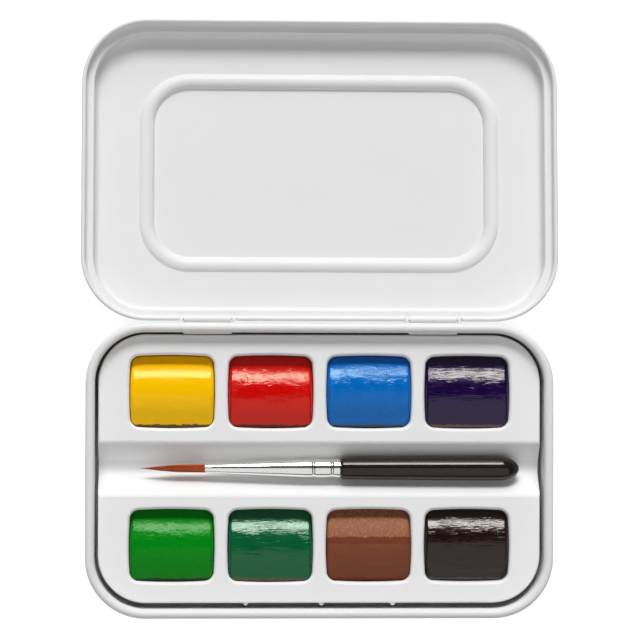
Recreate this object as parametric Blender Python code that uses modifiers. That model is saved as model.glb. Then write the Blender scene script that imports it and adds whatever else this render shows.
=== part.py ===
"""A pocket watercolor tin: a hinged lid, a lift-out tray, eight paint cakes and a small brush.

The origin is the middle of the base's underside, on the table. X runs along the tin and its hinge, and
the open lid lies back towards +Y with its far edge on the table.
"""

import math

import bmesh
import bpy
from mathutils import Matrix, Vector

MM = 0.001

# The base tin, measured over its rolled rim.
BASE_WIDTH = 108.0 * MM
BASE_DEPTH = 68.0 * MM
BASE_HEIGHT = 13.0 * MM
BASE_CORNER = 14.0 * MM
BASE_EDGE_ROUND = 1.8 * MM
SHEET = 0.6 * MM
ROLL_RADIUS = 1.1 * MM
ROLL_BITE = 0.15 * MM

# The lid, which closes over the rolled rim.
LID_HEIGHT = 7.0 * MM
LID_CLEARANCE = 0.25 * MM
HEM_RADIUS = 0.5 * MM
SKIRT_HEIGHT = 2.6 * MM
STEP_WIDTH = 1.85 * MM
LID_OVERLAP = 2.4 * MM
LID_EDGE_ROUND = 1.6 * MM
LID_FLOOR_ROUND = 1.0 * MM
STEP_FILLET = 0.5 * MM
STEP_ROUND = 0.4 * MM

# The raised bead on the lid, set in from the skirt, and the panel inside it.
BEAD_SIDE_INSET = 13.85 * MM
BEAD_END_INSET = 12.55 * MM
BEAD_CORNER = 10.2 * MM
BEAD_RADIUS = 1.5 * MM
BEAD_SINK = 0.9 * MM
PANEL_DROP = 0.3 * MM

# The two curled tabs of the lid, each between a pair of lugs on the rolled rim.
HINGE_OFFSET = 0.85 * MM
HINGE_BELOW_RIM = 0.8 * MM
HINGE_INSET = 14.0 * MM
TAB_LENGTH = 11.0 * MM
KNUCKLE_RADIUS = 0.7 * MM
BORE_RADIUS = 0.4 * MM
PIN_RADIUS = 0.35 * MM
LUG_LENGTH = 0.8 * MM
LUG_GAP = 0.2 * MM
LUG_RUNNING_GAP = 0.25 * MM
PIN_SEAT_GAP = 0.03 * MM
RELIEF_RADIUS = 0.4 * MM
RELIEF_INSET = 0.6 * MM
DENT_LENGTH = 10.0 * MM
DENT_HEIGHT = 1.6 * MM
DENT_THICKNESS = 0.35 * MM
DENT_ROUND = 0.3 * MM

# The moulded tray, a loose fit inside the base's wall.
TRAY_SIDE_GAP = 0.85 * MM
TRAY_FRONT_GAP = 1.35 * MM
TRAY_REAR_GAP = 0.65 * MM
TRAY_TOP = 10.0 * MM
TRAY_WALL = 0.8 * MM
TRAY_EDGE_ROUND = 0.8 * MM
SEAT_GAP = 0.3 * MM
NUB_RADIUS = 0.6 * MM
NUB_HEIGHT = 6.0 * MM
NUB_BELOW_TOP = 0.5 * MM
NUB_PLACES = (-17.0 * MM, 0.5 * MM, 17.0 * MM)

# The wells, in two rows that share out the tray, and the cakes that they hold.
WELLS_IN_ROW = 4
WELL_SIDE_MARGIN = 7.475 * MM
WELL_END_MARGIN = 5.1 * MM
WELL_SPACING = 3.75 * MM
WELL_CORNER = 1.9 * MM
WELL_BOW = 0.35 * MM
WELL_FLOOR = 1.7 * MM
WELL_LIP = 0.9 * MM
CAKE_GAP = 0.3 * MM
CAKE_CROWN = 10.4 * MM

# The trough between the rows: two straight slopes, in degrees, down to a round bottom for the brush.
TROUGH_WIDTH = 13.6 * MM
TROUGH_SLOPE = 44.0
TROUGH_LIP = 1.8 * MM
TROUGH_SPACING = 2.85 * MM

# The brush, whose handle fills the length that the tray leaves it.
BRUSH_TIP_GAP = 9.2 * MM
BRUSH_END_GAP = 4.7 * MM
TUFT_LENGTH = 15.4 * MM
FERRULE_LENGTH = 31.3 * MM
BACKING_RADIUS = 0.75 * MM
BACKING_LENGTH = 0.8 * MM
FERRULE_NOSE_RADIUS = 1.1 * MM
FERRULE_TAIL_RADIUS = 2.2 * MM
FERRULE_WALL = 0.3 * MM
FERRULE_STRAIGHT = 8.0 * MM
CRIMP_DEPTH = 0.16 * MM
CRIMP_WIDTH = 1.0 * MM
CRIMP_PLACES = (1.9 * MM, 6.2 * MM)
SPIGOT_LENGTH = 5.0 * MM
HANDLE_NECK_RADIUS = 2.5 * MM
HANDLE_BELLY_RADIUS = 2.75 * MM
HANDLE_SHOULDER = 0.4 * MM
HANDLE_DOME = 4.4 * MM
BRUSH_REST_GAP = 0.3 * MM

# The tuft's hairs. Each station is a share of the tuft's length and its radius there.
HAIR_COUNT = 300
HAIR_SIDES = 3
TUFT_STATIONS = ((0.0, 0.70 * MM), (0.3, 0.95 * MM), (0.68, 0.66 * MM), (1.0, 0.18 * MM))
HAIR_THICKNESS_SHARE = 0.36
HAIR_SHORTENING_SHARE = 0.45
HAIR_LAST_SHARE = 0.02
HAIR_BITE = 0.4 * MM

# Facets and working sizes.
CORNER_FACETS = 8
ROUND_FACETS = 3
ROLL_FACETS = 13
HEM_FACETS = 9
BEAD_FACETS = 7
WELL_CORNER_FACETS = 4
WELL_SIDE_FACETS = 3
LIP_FACETS = 3
TROUGH_FACETS = 14
CROWN_SIDES = 64
DOME_FACETS = 6
KNUCKLE_SIDES = 20
PIN_SIDES = 16
BRUSH_STEPS = 28
NUB_SIDES = 12
RELIEF_SIDES = 12
CUT_MARGIN = 2.0 * MM
GRAZE = 0.05 * MM
WELD = 0.001 * MM
MERGE = 0.01 * MM
SMOOTH_ANGLE = 36.0

# Sizes that follow from the ones above.
RIM_LEVEL = BASE_HEIGHT - ROLL_RADIUS
INNER_HALF_WIDTH = BASE_WIDTH / 2 - 2 * ROLL_RADIUS + ROLL_BITE
INNER_HALF_DEPTH = BASE_DEPTH / 2 - 2 * ROLL_RADIUS + ROLL_BITE
INNER_CORNER = BASE_CORNER - 2 * ROLL_RADIUS + ROLL_BITE
HINGE_HEIGHT = BASE_HEIGHT - LID_OVERLAP + HINGE_BELOW_RIM
HINGE_Y = BASE_DEPTH / 2 + HINGE_OFFSET

# Places on the lid, measured from the hinge line with the lid lying level and open.
LID_CENTRE_Y = HINGE_OFFSET + BASE_DEPTH / 2
LID_FACE = HINGE_BELOW_RIM - LID_HEIGHT
LID_FLOOR = LID_FACE + SHEET
LID_STEP = HINGE_BELOW_RIM - SKIRT_HEIGHT
SKIRT_HALF_WIDTH = BASE_WIDTH / 2 + LID_CLEARANCE
SKIRT_HALF_DEPTH = BASE_DEPTH / 2 + LID_CLEARANCE
SKIRT_CORNER = BASE_CORNER + LID_CLEARANCE

BEAD_WIDTH = 2 * (SKIRT_HALF_WIDTH - BEAD_SIDE_INSET)
BEAD_DEPTH = 2 * (SKIRT_HALF_DEPTH - BEAD_END_INSET)

# Sizes and places in the base: the tray, its wells and trough, the brush and the hinges.
TRAY_WIDTH = 2 * (INNER_HALF_WIDTH - TRAY_SIDE_GAP)
TRAY_DEPTH = 2 * INNER_HALF_DEPTH - TRAY_FRONT_GAP - TRAY_REAR_GAP
TRAY_CORNER = INNER_CORNER - TRAY_SIDE_GAP
TRAY_CENTRE_Y = (TRAY_FRONT_GAP - TRAY_REAR_GAP) / 2
TRAY_BOTTOM = SHEET + SEAT_GAP
TROUGH_BAND = TROUGH_WIDTH + 2 * TROUGH_SPACING
WELL_WIDTH = (TRAY_WIDTH - 2 * WELL_SIDE_MARGIN - (WELLS_IN_ROW - 1) * WELL_SPACING) / WELLS_IN_ROW
WELL_DEPTH = (TRAY_DEPTH - 2 * WELL_END_MARGIN - TROUGH_BAND) / 2
WELL_PITCH = WELL_WIDTH + WELL_SPACING
ROW_PITCH = WELL_DEPTH + TROUGH_BAND
TROUGH_ROUND = HANDLE_BELLY_RADIUS + BRUSH_REST_GAP
TROUGH_TILT = math.radians(TROUGH_SLOPE)
TROUGH_RUN = TROUGH_WIDTH / 2 - (TROUGH_ROUND + TROUGH_LIP) * math.sin(TROUGH_TILT)
TROUGH_FALL = TROUGH_RUN * math.tan(TROUGH_TILT) + (TROUGH_ROUND + TROUGH_LIP) * (1 - math.cos(TROUGH_TILT))
TROUGH_FLOOR = TRAY_TOP - TROUGH_FALL
BRUSH_HEIGHT = TROUGH_FLOOR + TROUGH_ROUND
WELL_COLUMNS = tuple((column - (WELLS_IN_ROW - 1) / 2) * WELL_PITCH for column in range(WELLS_IN_ROW))
WELL_ROWS = (TRAY_CENTRE_Y + ROW_PITCH / 2, TRAY_CENTRE_Y - ROW_PITCH / 2)
TUFT_ROOT = BRUSH_TIP_GAP + TUFT_LENGTH - TRAY_WIDTH / 2
FERRULE_END = TUFT_ROOT + FERRULE_LENGTH
HANDLE_END = TRAY_WIDTH / 2 - BRUSH_END_GAP
TUFT_RADIUS = TUFT_STATIONS[0][1]
HINGE_CENTRE = BASE_WIDTH / 2 - BASE_CORNER - HINGE_INSET
HINGE_CENTRES = (-HINGE_CENTRE, HINGE_CENTRE)
PIN_LENGTH = TAB_LENGTH + 2 * (LUG_GAP + LUG_LENGTH)

# Finishes: colour, metallic and roughness.
WHITE_ENAMEL = ((0.80, 0.80, 0.80), 0.0, 0.25)
TRAY_WHITE = ((0.78, 0.78, 0.79), 0.0, 0.35)
PIN_STEEL = ((0.62, 0.62, 0.62), 1.0, 0.35)
FERRULE_NICKEL = ((0.80, 0.80, 0.80), 1.0, 0.2)
BLACK_LACQUER = ((0.012, 0.012, 0.012), 0.0, 0.15)
BROWN_HAIR = ((0.16, 0.035, 0.012), 0.0, 0.5)
PAINT_METALLIC = 0.0
PAINT_ROUGHNESS = 0.3

# The paints, back row first: name, colour, the radius of the cake's rounded top, and how far
# the top's crest lies from the middle of the well, forward being minus.
PAINTS = (
    ("yellow", (0.88, 0.47, 0.0), 12.0 * MM, -1.3 * MM),
    ("red", (0.55, 0.0, 0.0), 13.0 * MM, -2.3 * MM),
    ("blue", (0.0, 0.11, 0.44), 11.5 * MM, -0.6 * MM),
    ("violet", (0.025, 0.015, 0.06), 14.0 * MM, -2.0 * MM),
    ("light_green", (0.0, 0.20, 0.01), 12.0 * MM, -1.5 * MM),
    ("dark_green", (0.01, 0.10, 0.04), 14.5 * MM, -2.5 * MM),
    ("brown", (0.16, 0.05, 0.03), 12.0 * MM, -1.0 * MM),
    ("black_brown", (0.03, 0.022, 0.02), 11.0 * MM, -0.2 * MM),
)


def clear_scene():
    """Remove what the starting file holds."""
    for item in list(bpy.data.objects):
        bpy.data.objects.remove(item, do_unlink=True)


def new_collection(name):
    """Add a collection to the scene."""
    group = bpy.data.collections.new(name)
    bpy.context.scene.collection.children.link(group)
    return group


clear_scene()
PARTS = new_collection("watercolor_travel_set")
CUTTERS = new_collection("cutters")


def make_material(name, finish):
    """Make a plain Principled material."""
    colour, metallic, roughness = finish
    material = bpy.data.materials.new(name)
    material.use_nodes = True
    shader = material.node_tree.nodes["Principled BSDF"]
    shader.inputs["Base Color"].default_value = (*colour, 1.0)
    shader.inputs["Metallic"].default_value = metallic
    shader.inputs["Roughness"].default_value = roughness
    return material


def add_part(name, mesh, place, finish):
    """Add one piece of the object, its origin at the given place."""
    piece = bpy.data.objects.new(name, mesh)
    piece.location = place
    mesh.materials.append(make_material(name, finish))
    PARTS.objects.link(piece)
    return piece


def add_tool(name, mesh, place=(0, 0, 0)):
    """Add a shape that only cuts or joins another."""
    tool = bpy.data.objects.new(name, mesh)
    tool.location = place
    tool.hide_render = True
    tool.display_type = "WIRE"
    CUTTERS.objects.link(tool)
    return tool


def combine(target, tool, operation):
    """Put a Boolean of the tool on the target."""
    step = target.modifiers.new(tool.name, "BOOLEAN")
    step.operation = operation
    step.solver = "EXACT"
    step.object = tool


def finish_mesh(bm, name):
    """Turn a working mesh into a named one, faces outward."""
    bmesh.ops.recalc_face_normals(bm, faces=bm.faces[:])
    mesh = bpy.data.meshes.new(name)
    bm.to_mesh(mesh)
    bm.free()
    mesh.shade_smooth()
    mesh.set_sharp_from_angle(angle=math.radians(SMOOTH_ANGLE))
    return mesh


def edges_at(bm, level):
    """List the edges that lie at one height."""
    return [edge for edge in bm.edges if all(abs(corner.co.z - level) < WELD for corner in edge.verts)]


def round_edges(bm, edges, size, facets):
    """Round edges of a working mesh."""
    bmesh.ops.bevel(
        bm, geom=edges, offset=size, offset_type="OFFSET", segments=facets, profile=0.5, affect="EDGES"
    )


def rounded_block(name, half_width, half_depth, low, high, corner, top_round=0):
    """Make a block with round upright corners and, where asked, a rounded top edge."""
    bm = bmesh.new()
    bmesh.ops.create_cube(bm, size=2)
    for point in bm.verts:
        point.co.x *= half_width
        point.co.y *= half_depth
        point.co.z = high if point.co.z > 0 else low
    upright = [edge for edge in bm.edges if abs(edge.verts[0].co.z - edge.verts[1].co.z) > WELD]
    round_edges(bm, upright, corner, CORNER_FACETS)
    if top_round:
        round_edges(bm, edges_at(bm, high), top_round, ROUND_FACETS)
    return finish_mesh(bm, name)


def rounded_outline(half_width, half_depth, corner, facets):
    """Compute the points of a round-cornered rectangle, anticlockwise."""
    points = []
    for quarter in range(4):
        side_x = 1 if quarter in (0, 3) else -1
        side_y = 1 if quarter in (0, 1) else -1
        centre = Vector((side_x * (half_width - corner), side_y * (half_depth - corner), 0))
        for step in range(facets + 1):
            angle = math.radians(90.0) * (quarter + step / facets)
            points.append(centre + Vector((math.cos(angle), math.sin(angle), 0)) * corner)
    return points


def loft(name, rings):
    """Close a solid through a stack of rings that have the same number of points."""
    bm = bmesh.new()
    add_loft(bm, rings)
    return finish_mesh(bm, name)


def add_loft(bm, rings):
    """Add one lofted solid to a working mesh."""
    levels = [[bm.verts.new(point) for point in ring] for ring in rings]
    count = len(levels[0])
    for lower, upper in zip(levels, levels[1:]):
        for index in range(count):
            after = (index + 1) % count
            bm.faces.new((lower[index], lower[after], upper[after], upper[index]))
    bm.faces.new(levels[0][::-1])
    bm.faces.new(levels[-1])


def add_round(bm, radius, length, sides, place):
    """Add one upright cylinder to a working mesh, placed and turned by a matrix."""
    bmesh.ops.create_cone(
        bm, cap_ends=True, segments=sides, radius1=radius, radius2=radius, depth=length, matrix=place
    )


def along_x(centre):
    """Give the matrix that lays an upright shape along X about a centre."""
    return Matrix.Translation(centre) @ Matrix.Rotation(math.radians(90.0), 4, "Y")


def bars(name, radius, length, sides, centres):
    """Make round bars along X, one about each centre."""
    bm = bmesh.new()
    for centre in centres:
        add_round(bm, radius, length, sides, along_x(centre))
    return finish_mesh(bm, name)


def well_outline(grow, level):
    """Compute a well's outline, its sides slightly bowed, grown all round."""
    half_width = WELL_WIDTH / 2 + grow
    half_depth = WELL_DEPTH / 2 + grow
    corner = WELL_CORNER + grow
    base = rounded_outline(half_width, half_depth, corner, WELL_CORNER_FACETS)
    points = []
    span = WELL_CORNER_FACETS + 1
    for index, point in enumerate(base):
        points.append(point)
        if index % span == span - 1:
            after = base[(index + 1) % len(base)]
            for step in range(1, WELL_SIDE_FACETS):
                points.append(point.lerp(after, step / WELL_SIDE_FACETS))
    bowed = []
    for point in points:
        swell_x = 1 + WELL_BOW / half_width * (1 - (point.y / half_depth) ** 2)
        swell_y = 1 + WELL_BOW / half_depth * (1 - (point.x / half_width) ** 2)
        bowed.append(Vector((point.x * swell_x, point.y * swell_y, level)))
    return bowed


def well_places():
    """List the middle of each well, back row first, left to right."""
    return [Vector((x, y, 0)) for y in WELL_ROWS for x in WELL_COLUMNS]


def shifted(points, offset):
    """Move a ring of points."""
    return [point + offset for point in points]


def well_hollows():
    """Make the eight well hollows, each flared at its lip."""
    bm = bmesh.new()
    for place in well_places():
        rings = [shifted(well_outline(0, WELL_FLOOR), place)]
        for step in range(LIP_FACETS + 1):
            angle = math.radians(90.0) * step / LIP_FACETS
            level = TRAY_TOP - WELL_LIP + GRAZE + WELL_LIP * math.sin(angle)
            rings.append(shifted(well_outline(WELL_LIP * (1 - math.cos(angle)), level), place))
        rings.append(shifted(well_outline(WELL_LIP, TRAY_TOP + CUT_MARGIN), place))
        add_loft(bm, rings)
    return finish_mesh(bm, "well_hollows")


def well_shells():
    """Make the eight outer shapes of the wells, which the tray's underside leaves standing."""
    bm = bmesh.new()
    for place in well_places():
        low = shifted(well_outline(TRAY_WALL, -CUT_MARGIN), place)
        high = shifted(well_outline(TRAY_WALL, TRAY_TOP + CUT_MARGIN), place)
        add_loft(bm, [low, high])
    return finish_mesh(bm, "well_shells")


def trough_bottom(radius):
    """Compute the round bottom of the trough's section, between its slopes."""
    start = -90.0 - TROUGH_SLOPE
    return arc_points(0, TROUGH_FLOOR + TROUGH_ROUND, radius, start, start + 2 * TROUGH_SLOPE, TROUGH_FACETS)


def trough_shell_section():
    """Compute the section of the shell that carries the trough, its slopes run on past the tray."""
    bottom = trough_bottom(TROUGH_ROUND + TRAY_WALL)
    top = TRAY_TOP + CUT_MARGIN / 2
    foot, level = bottom[-1]
    edge = foot + (top - level) / math.tan(TROUGH_TILT)
    return [(-edge, top)] + bottom + [(edge, top)]


def trough_hollow_section():
    """Compute the section of the trough itself, its lips rolled over and carried up past the tray."""
    edge = TROUGH_WIDTH / 2
    level = TRAY_TOP - TROUGH_LIP + GRAZE
    right = arc_points(edge, level, TROUGH_LIP, 90.0 + TROUGH_SLOPE, 90.0, LIP_FACETS)
    right.append((edge, TRAY_TOP + CUT_MARGIN))
    left = [(-y, z) for y, z in reversed(right)]
    return left + trough_bottom(TROUGH_ROUND) + right


def trough_solid(name, section):
    """Run a section the whole length of the tray."""
    end = TRAY_WIDTH / 2 + CUT_MARGIN
    rings = [[Vector((x, TRAY_CENTRE_Y + y, z)) for y, z in section] for x in (-end, end)]
    return loft(name, rings)


def arc_points(across, level, radius, start, stop, facets):
    """Compute points on an arc of a wall's section, angles in degrees from outward."""
    points = []
    for step in range(facets + 1):
        angle = math.radians(start + (stop - start) * step / facets)
        points.append((across + radius * math.cos(angle), level + radius * math.sin(angle)))
    return points


def sized_ring(width, depth, corner, grow, level, centre_y):
    """Compute one ring of a pressed shape: its outline grown all round, at a level."""
    outline = rounded_outline(width / 2 + grow, depth / 2 + grow, corner + grow, CORNER_FACETS)
    return shifted(outline, Vector((0, centre_y, level)))


def base_rings():
    """Compute the pressed base's rings: underside, outer wall, roll, inner wall and floor."""
    inner = ROLL_BITE - 2 * ROLL_RADIUS
    outer = inner + SHEET
    section = arc_points(outer - BASE_EDGE_ROUND, BASE_EDGE_ROUND, BASE_EDGE_ROUND, -90.0, 0.0, ROUND_FACETS)
    leave = math.degrees(math.acos((outer + ROLL_RADIUS) / ROLL_RADIUS))
    arrive = 360.0 - math.degrees(math.acos((inner + ROLL_RADIUS) / ROLL_RADIUS))
    section += arc_points(-ROLL_RADIUS, RIM_LEVEL, ROLL_RADIUS, -leave, arrive, ROLL_FACETS)
    fillet = BASE_EDGE_ROUND - SHEET
    section += arc_points(inner - fillet, SHEET + fillet, fillet, 0.0, -90.0, ROUND_FACETS)
    return [sized_ring(BASE_WIDTH, BASE_DEPTH, BASE_CORNER, *point, 0) for point in section]


def make_base():
    """The base: a shallow tin with a rolled rim, hinge lugs and a small dent behind each lug pair."""
    base = add_part("base_tin", loft("base_tin", base_rings()), (0, 0, 0), WHITE_ENAMEL)
    combine(base, add_tool("hinge_dents", hinge_dents()), "UNION")
    combine(base, add_tool("hinge_lugs", lug_solids()), "UNION")
    centres = [(x, HINGE_Y, HINGE_HEIGHT) for x in HINGE_CENTRES]
    holes = bars("lug_holes", PIN_RADIUS + PIN_SEAT_GAP, PIN_LENGTH + CUT_MARGIN, PIN_SIDES, centres)
    combine(base, add_tool("lug_holes", holes), "DIFFERENCE")


def hinge_dents():
    """Make the two shallow swells on the inside of the wall, one behind each hinge."""
    bm = bmesh.new()
    back = INNER_HALF_DEPTH + SHEET / 2
    front = INNER_HALF_DEPTH - ROLL_BITE - DENT_THICKNESS
    low = RIM_LEVEL - DENT_HEIGHT
    high = RIM_LEVEL + DENT_ROUND
    for centre in HINGE_CENTRES:
        rings = []
        for y, half in ((back, DENT_LENGTH / 2 + SHEET), (front, DENT_LENGTH / 2)):
            corners = ((-1, low), (1, low), (1, high), (-1, high))
            rings.append([Vector((centre + side * half, y, z)) for side, z in corners])
        add_loft(bm, rings)
    return finish_mesh(bm, "hinge_dents")


def lug_solids():
    """Make the four lugs that stand out from the rolled rim."""
    bm = bmesh.new()
    section = arc_points(HINGE_Y, HINGE_HEIGHT, KNUCKLE_RADIUS, -90.0, 90.0, KNUCKLE_SIDES // 2)
    back = (BASE_DEPTH - ROLL_RADIUS) / 2
    section.append((back, HINGE_HEIGHT + KNUCKLE_RADIUS))
    section.append((back, HINGE_HEIGHT - KNUCKLE_RADIUS))
    for centre in HINGE_CENTRES:
        for side in (-1, 1):
            near = centre + side * (TAB_LENGTH / 2 + LUG_GAP)
            far = near + side * LUG_LENGTH
            add_loft(bm, [[Vector((x, y, z)) for y, z in section] for x in (near, far)])
    return finish_mesh(bm, "hinge_lugs")


def make_pins():
    """The two wire pins, held in the lugs."""
    for side, x in zip(("left", "right"), HINGE_CENTRES):
        name = "hinge_pin_" + side
        mesh = bars(name, PIN_RADIUS, PIN_LENGTH, PIN_SIDES, [(0, 0, 0)])
        add_part(name, mesh, (x, HINGE_Y, HINGE_HEIGHT), PIN_STEEL)


def lid_lean():
    """Work out how far past flat the lid leans before its far edge meets the table."""
    edge_y = LID_CENTRE_Y + SKIRT_HALF_DEPTH - STEP_WIDTH + SHEET - LID_EDGE_ROUND
    edge_z = LID_FACE + LID_EDGE_ROUND
    reach = math.hypot(edge_y, edge_z)
    return math.asin((HINGE_HEIGHT - LID_EDGE_ROUND) / reach) - math.atan2(-edge_z, edge_y)


def lid_tool(lid, name, mesh, operation):
    """Use a shape made in the lid's own frame on the lid."""
    tool = add_tool(name, mesh)
    tool.parent = lid
    combine(lid, tool, operation)


def bead_sections():
    """Compute the bead's section: its groove from the panel outward, its ridge from outside inward."""
    axis = LID_FLOOR - BEAD_SINK
    groove = BEAD_RADIUS - SHEET
    lift = math.degrees(math.asin((LID_FACE - axis) / groove))
    under = arc_points(0, axis, groove, 180.0, lift, BEAD_FACETS)
    rise = math.degrees(math.asin(BEAD_SINK / BEAD_RADIUS))
    fall = 180.0 - math.degrees(math.asin((BEAD_SINK - PANEL_DROP) / BEAD_RADIUS))
    over = arc_points(0, axis, BEAD_RADIUS, rise, fall, BEAD_FACETS)
    return under, over


def wall_section():
    """Compute the lid wall's section, from the outer face up over the hem and down to the floor."""
    outer = SHEET - STEP_WIDTH
    turn = LID_EDGE_ROUND
    section = arc_points(outer - turn, LID_FACE + turn, turn, -90.0, 0.0, ROUND_FACETS)
    section.append((outer, LID_STEP - SHEET))
    section += arc_points(0, LID_STEP, SHEET, -90.0, 0.0, ROUND_FACETS)
    leave = math.degrees(math.acos((SHEET - HEM_RADIUS) / HEM_RADIUS))
    section += arc_points(HEM_RADIUS, HINGE_BELOW_RIM - HEM_RADIUS, HEM_RADIUS, -leave, 180.0, HEM_FACETS)
    section += arc_points(-STEP_FILLET, LID_STEP + STEP_FILLET, STEP_FILLET, 0.0, -90.0, ROUND_FACETS)
    across = STEP_ROUND - STEP_WIDTH
    section += arc_points(across, LID_STEP - STEP_ROUND, STEP_ROUND, 90.0, 180.0, ROUND_FACETS)
    across = -STEP_WIDTH - LID_FLOOR_ROUND
    section += arc_points(across, LID_FLOOR + LID_FLOOR_ROUND, LID_FLOOR_ROUND, 0.0, -90.0, ROUND_FACETS)
    return section


def lid_rings():
    """Compute the pressed lid's rings: panel, groove, wall, hem, step, floor, ridge and panel again."""
    under, over = bead_sections()
    bead = (BEAD_WIDTH, BEAD_DEPTH, BEAD_CORNER)
    skirt = (2 * SKIRT_HALF_WIDTH, 2 * SKIRT_HALF_DEPTH, SKIRT_CORNER)
    stack = ((bead, under), (skirt, wall_section()), (bead, over))
    return [sized_ring(*outline, *point, LID_CENTRE_Y) for outline, section in stack for point in section]


def make_lid():
    """The lid, open: skirt and hem, a step all round, the walls, the floor, the bead and the panel."""
    lid = add_part("lid_tin", loft("lid_tin", lid_rings()), (0, HINGE_Y, HINGE_HEIGHT), WHITE_ENAMEL)
    lid.rotation_euler = (-lid_lean(), 0, 0)
    lid_tool(lid, "tab_notches", tab_notches(), "DIFFERENCE")
    lid_tool(lid, "lug_slots", lug_slots(), "DIFFERENCE")
    lid_tool(lid, "relief_holes", relief_holes(), "DIFFERENCE")
    centres = [(x, 0, 0) for x in HINGE_CENTRES]
    knuckles = bars("knuckles", KNUCKLE_RADIUS, TAB_LENGTH - 2 * GRAZE, KNUCKLE_SIDES, centres)
    lid_tool(lid, "knuckles", knuckles, "UNION")
    bores = bars("knuckle_bores", BORE_RADIUS, TAB_LENGTH + CUT_MARGIN, KNUCKLE_SIDES, centres)
    lid_tool(lid, "knuckle_bores", bores, "DIFFERENCE")


def add_box(bm, low, high):
    """Add an upright box between two corners."""
    low = Vector(low)
    high = Vector(high)
    middle = (low + high) / 2
    size = high - low
    place = Matrix.Translation(middle) @ Matrix.Diagonal((size.x, size.y, size.z, 1))
    bmesh.ops.create_cube(bm, size=1, matrix=place)


def tab_notches():
    """Make the cuts that take the hem away above each tab."""
    bm = bmesh.new()
    half = TAB_LENGTH / 2 + LUG_GAP
    for centre in HINGE_CENTRES:
        low = (centre - half, -CUT_MARGIN, 0)
        add_box(bm, low, (centre + half, LID_CLEARANCE + CUT_MARGIN / 2, CUT_MARGIN))
    return finish_mesh(bm, "tab_notches")


def lug_slots():
    """Make the slots in the skirt that the lugs turn in."""
    bm = bmesh.new()
    for centre in HINGE_CENTRES:
        for side in (-1, 1):
            near = centre + side * TAB_LENGTH / 2
            far = near + side * (LUG_LENGTH + 2 * LUG_GAP)
            low = (min(near, far), -CUT_MARGIN, -KNUCKLE_RADIUS - LUG_RUNNING_GAP)
            add_box(bm, low, (max(near, far), LID_CLEARANCE + CUT_MARGIN / 2, CUT_MARGIN))
    return finish_mesh(bm, "lug_slots")


def relief_holes():
    """Make the small hole through the step behind each slot."""
    bm = bmesh.new()
    for centre in HINGE_CENTRES:
        for side in (-1, 1):
            x = centre + side * (TAB_LENGTH + LUG_LENGTH + 2 * LUG_GAP) / 2
            y = LID_CENTRE_Y - SKIRT_HALF_DEPTH + RELIEF_INSET
            place = Matrix.Translation((x, y, LID_STEP - SHEET / 2))
            add_round(bm, RELIEF_RADIUS, 2 * SHEET, RELIEF_SIDES, place)
    return finish_mesh(bm, "relief_holes")


def tray_nubs():
    """Make the three nubs on the tray's front wall."""
    bm = bmesh.new()
    level = TRAY_TOP - NUB_BELOW_TOP - NUB_HEIGHT / 2
    for x in NUB_PLACES:
        place = Matrix.Translation((x, TRAY_CENTRE_Y - TRAY_DEPTH / 2, level))
        add_round(bm, NUB_RADIUS, NUB_HEIGHT, NUB_SIDES, place)
    return finish_mesh(bm, "tray_nubs")


def make_tray():
    """The tray: one thin moulding with eight wells, a trough and three nubs on its front wall."""
    body = rounded_block(
        "tray", TRAY_WIDTH / 2, TRAY_DEPTH / 2, TRAY_BOTTOM, TRAY_TOP, TRAY_CORNER, top_round=TRAY_EDGE_ROUND
    )
    tray = add_part("tray", body, (0, TRAY_CENTRE_Y, 0), TRAY_WHITE)
    combine(tray, add_tool("tray_nubs", tray_nubs()), "UNION")
    under = rounded_block(
        "tray_underside",
        TRAY_WIDTH / 2 - TRAY_WALL,
        TRAY_DEPTH / 2 - TRAY_WALL,
        TRAY_BOTTOM - CUT_MARGIN,
        TRAY_TOP - TRAY_WALL,
        TRAY_CORNER - TRAY_WALL,
    )
    hollow = add_tool("tray_underside", under, (0, TRAY_CENTRE_Y, 0))
    combine(hollow, add_tool("well_shells", well_shells()), "DIFFERENCE")
    shell = trough_solid("trough_shell", trough_shell_section())
    combine(hollow, add_tool("trough_shell", shell), "DIFFERENCE")
    combine(tray, hollow, "DIFFERENCE")
    combine(tray, add_tool("well_hollows", well_hollows()), "DIFFERENCE")
    trough = trough_solid("trough_hollow", trough_hollow_section())
    combine(tray, add_tool("trough_hollow", trough), "DIFFERENCE")
    return tray


def make_cakes(tray):
    """The eight cakes: blocks, each with its own rounded top, a loose fit in their wells."""
    levels = (WELL_FLOOR + CAKE_GAP, CAKE_CROWN + CUT_MARGIN)
    for (paint, colour, arc, crest), place in zip(PAINTS, well_places()):
        name = "cake_" + paint
        block = loft(name, [well_outline(-CAKE_GAP, level) for level in levels])
        finish = (colour, PAINT_METALLIC, PAINT_ROUGHNESS)
        cake = add_part(name, block, place - Vector((0, TRAY_CENTRE_Y, 0)), finish)
        cake.parent = tray
        crown = bars("crown_" + paint, arc, WELL_WIDTH + CUT_MARGIN, CROWN_SIDES, [(0, 0, 0)])
        tool = add_tool("crown_" + paint, crown, place + Vector((0, crest, CAKE_CROWN - arc)))
        combine(cake, tool, "INTERSECT")


def turned(name, profile, closed):
    """Turn a profile about X: the Screw axis is Z, so the object itself is laid over."""
    bm = bmesh.new()
    points = [bm.verts.new((radius, 0, -along)) for along, radius in profile]
    for first, second in zip(points, points[1:]):
        bm.edges.new((first, second))
    if closed:
        bm.edges.new((points[-1], points[0]))
    mesh = bpy.data.meshes.new(name)
    bm.to_mesh(mesh)
    bm.free()
    return mesh


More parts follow.
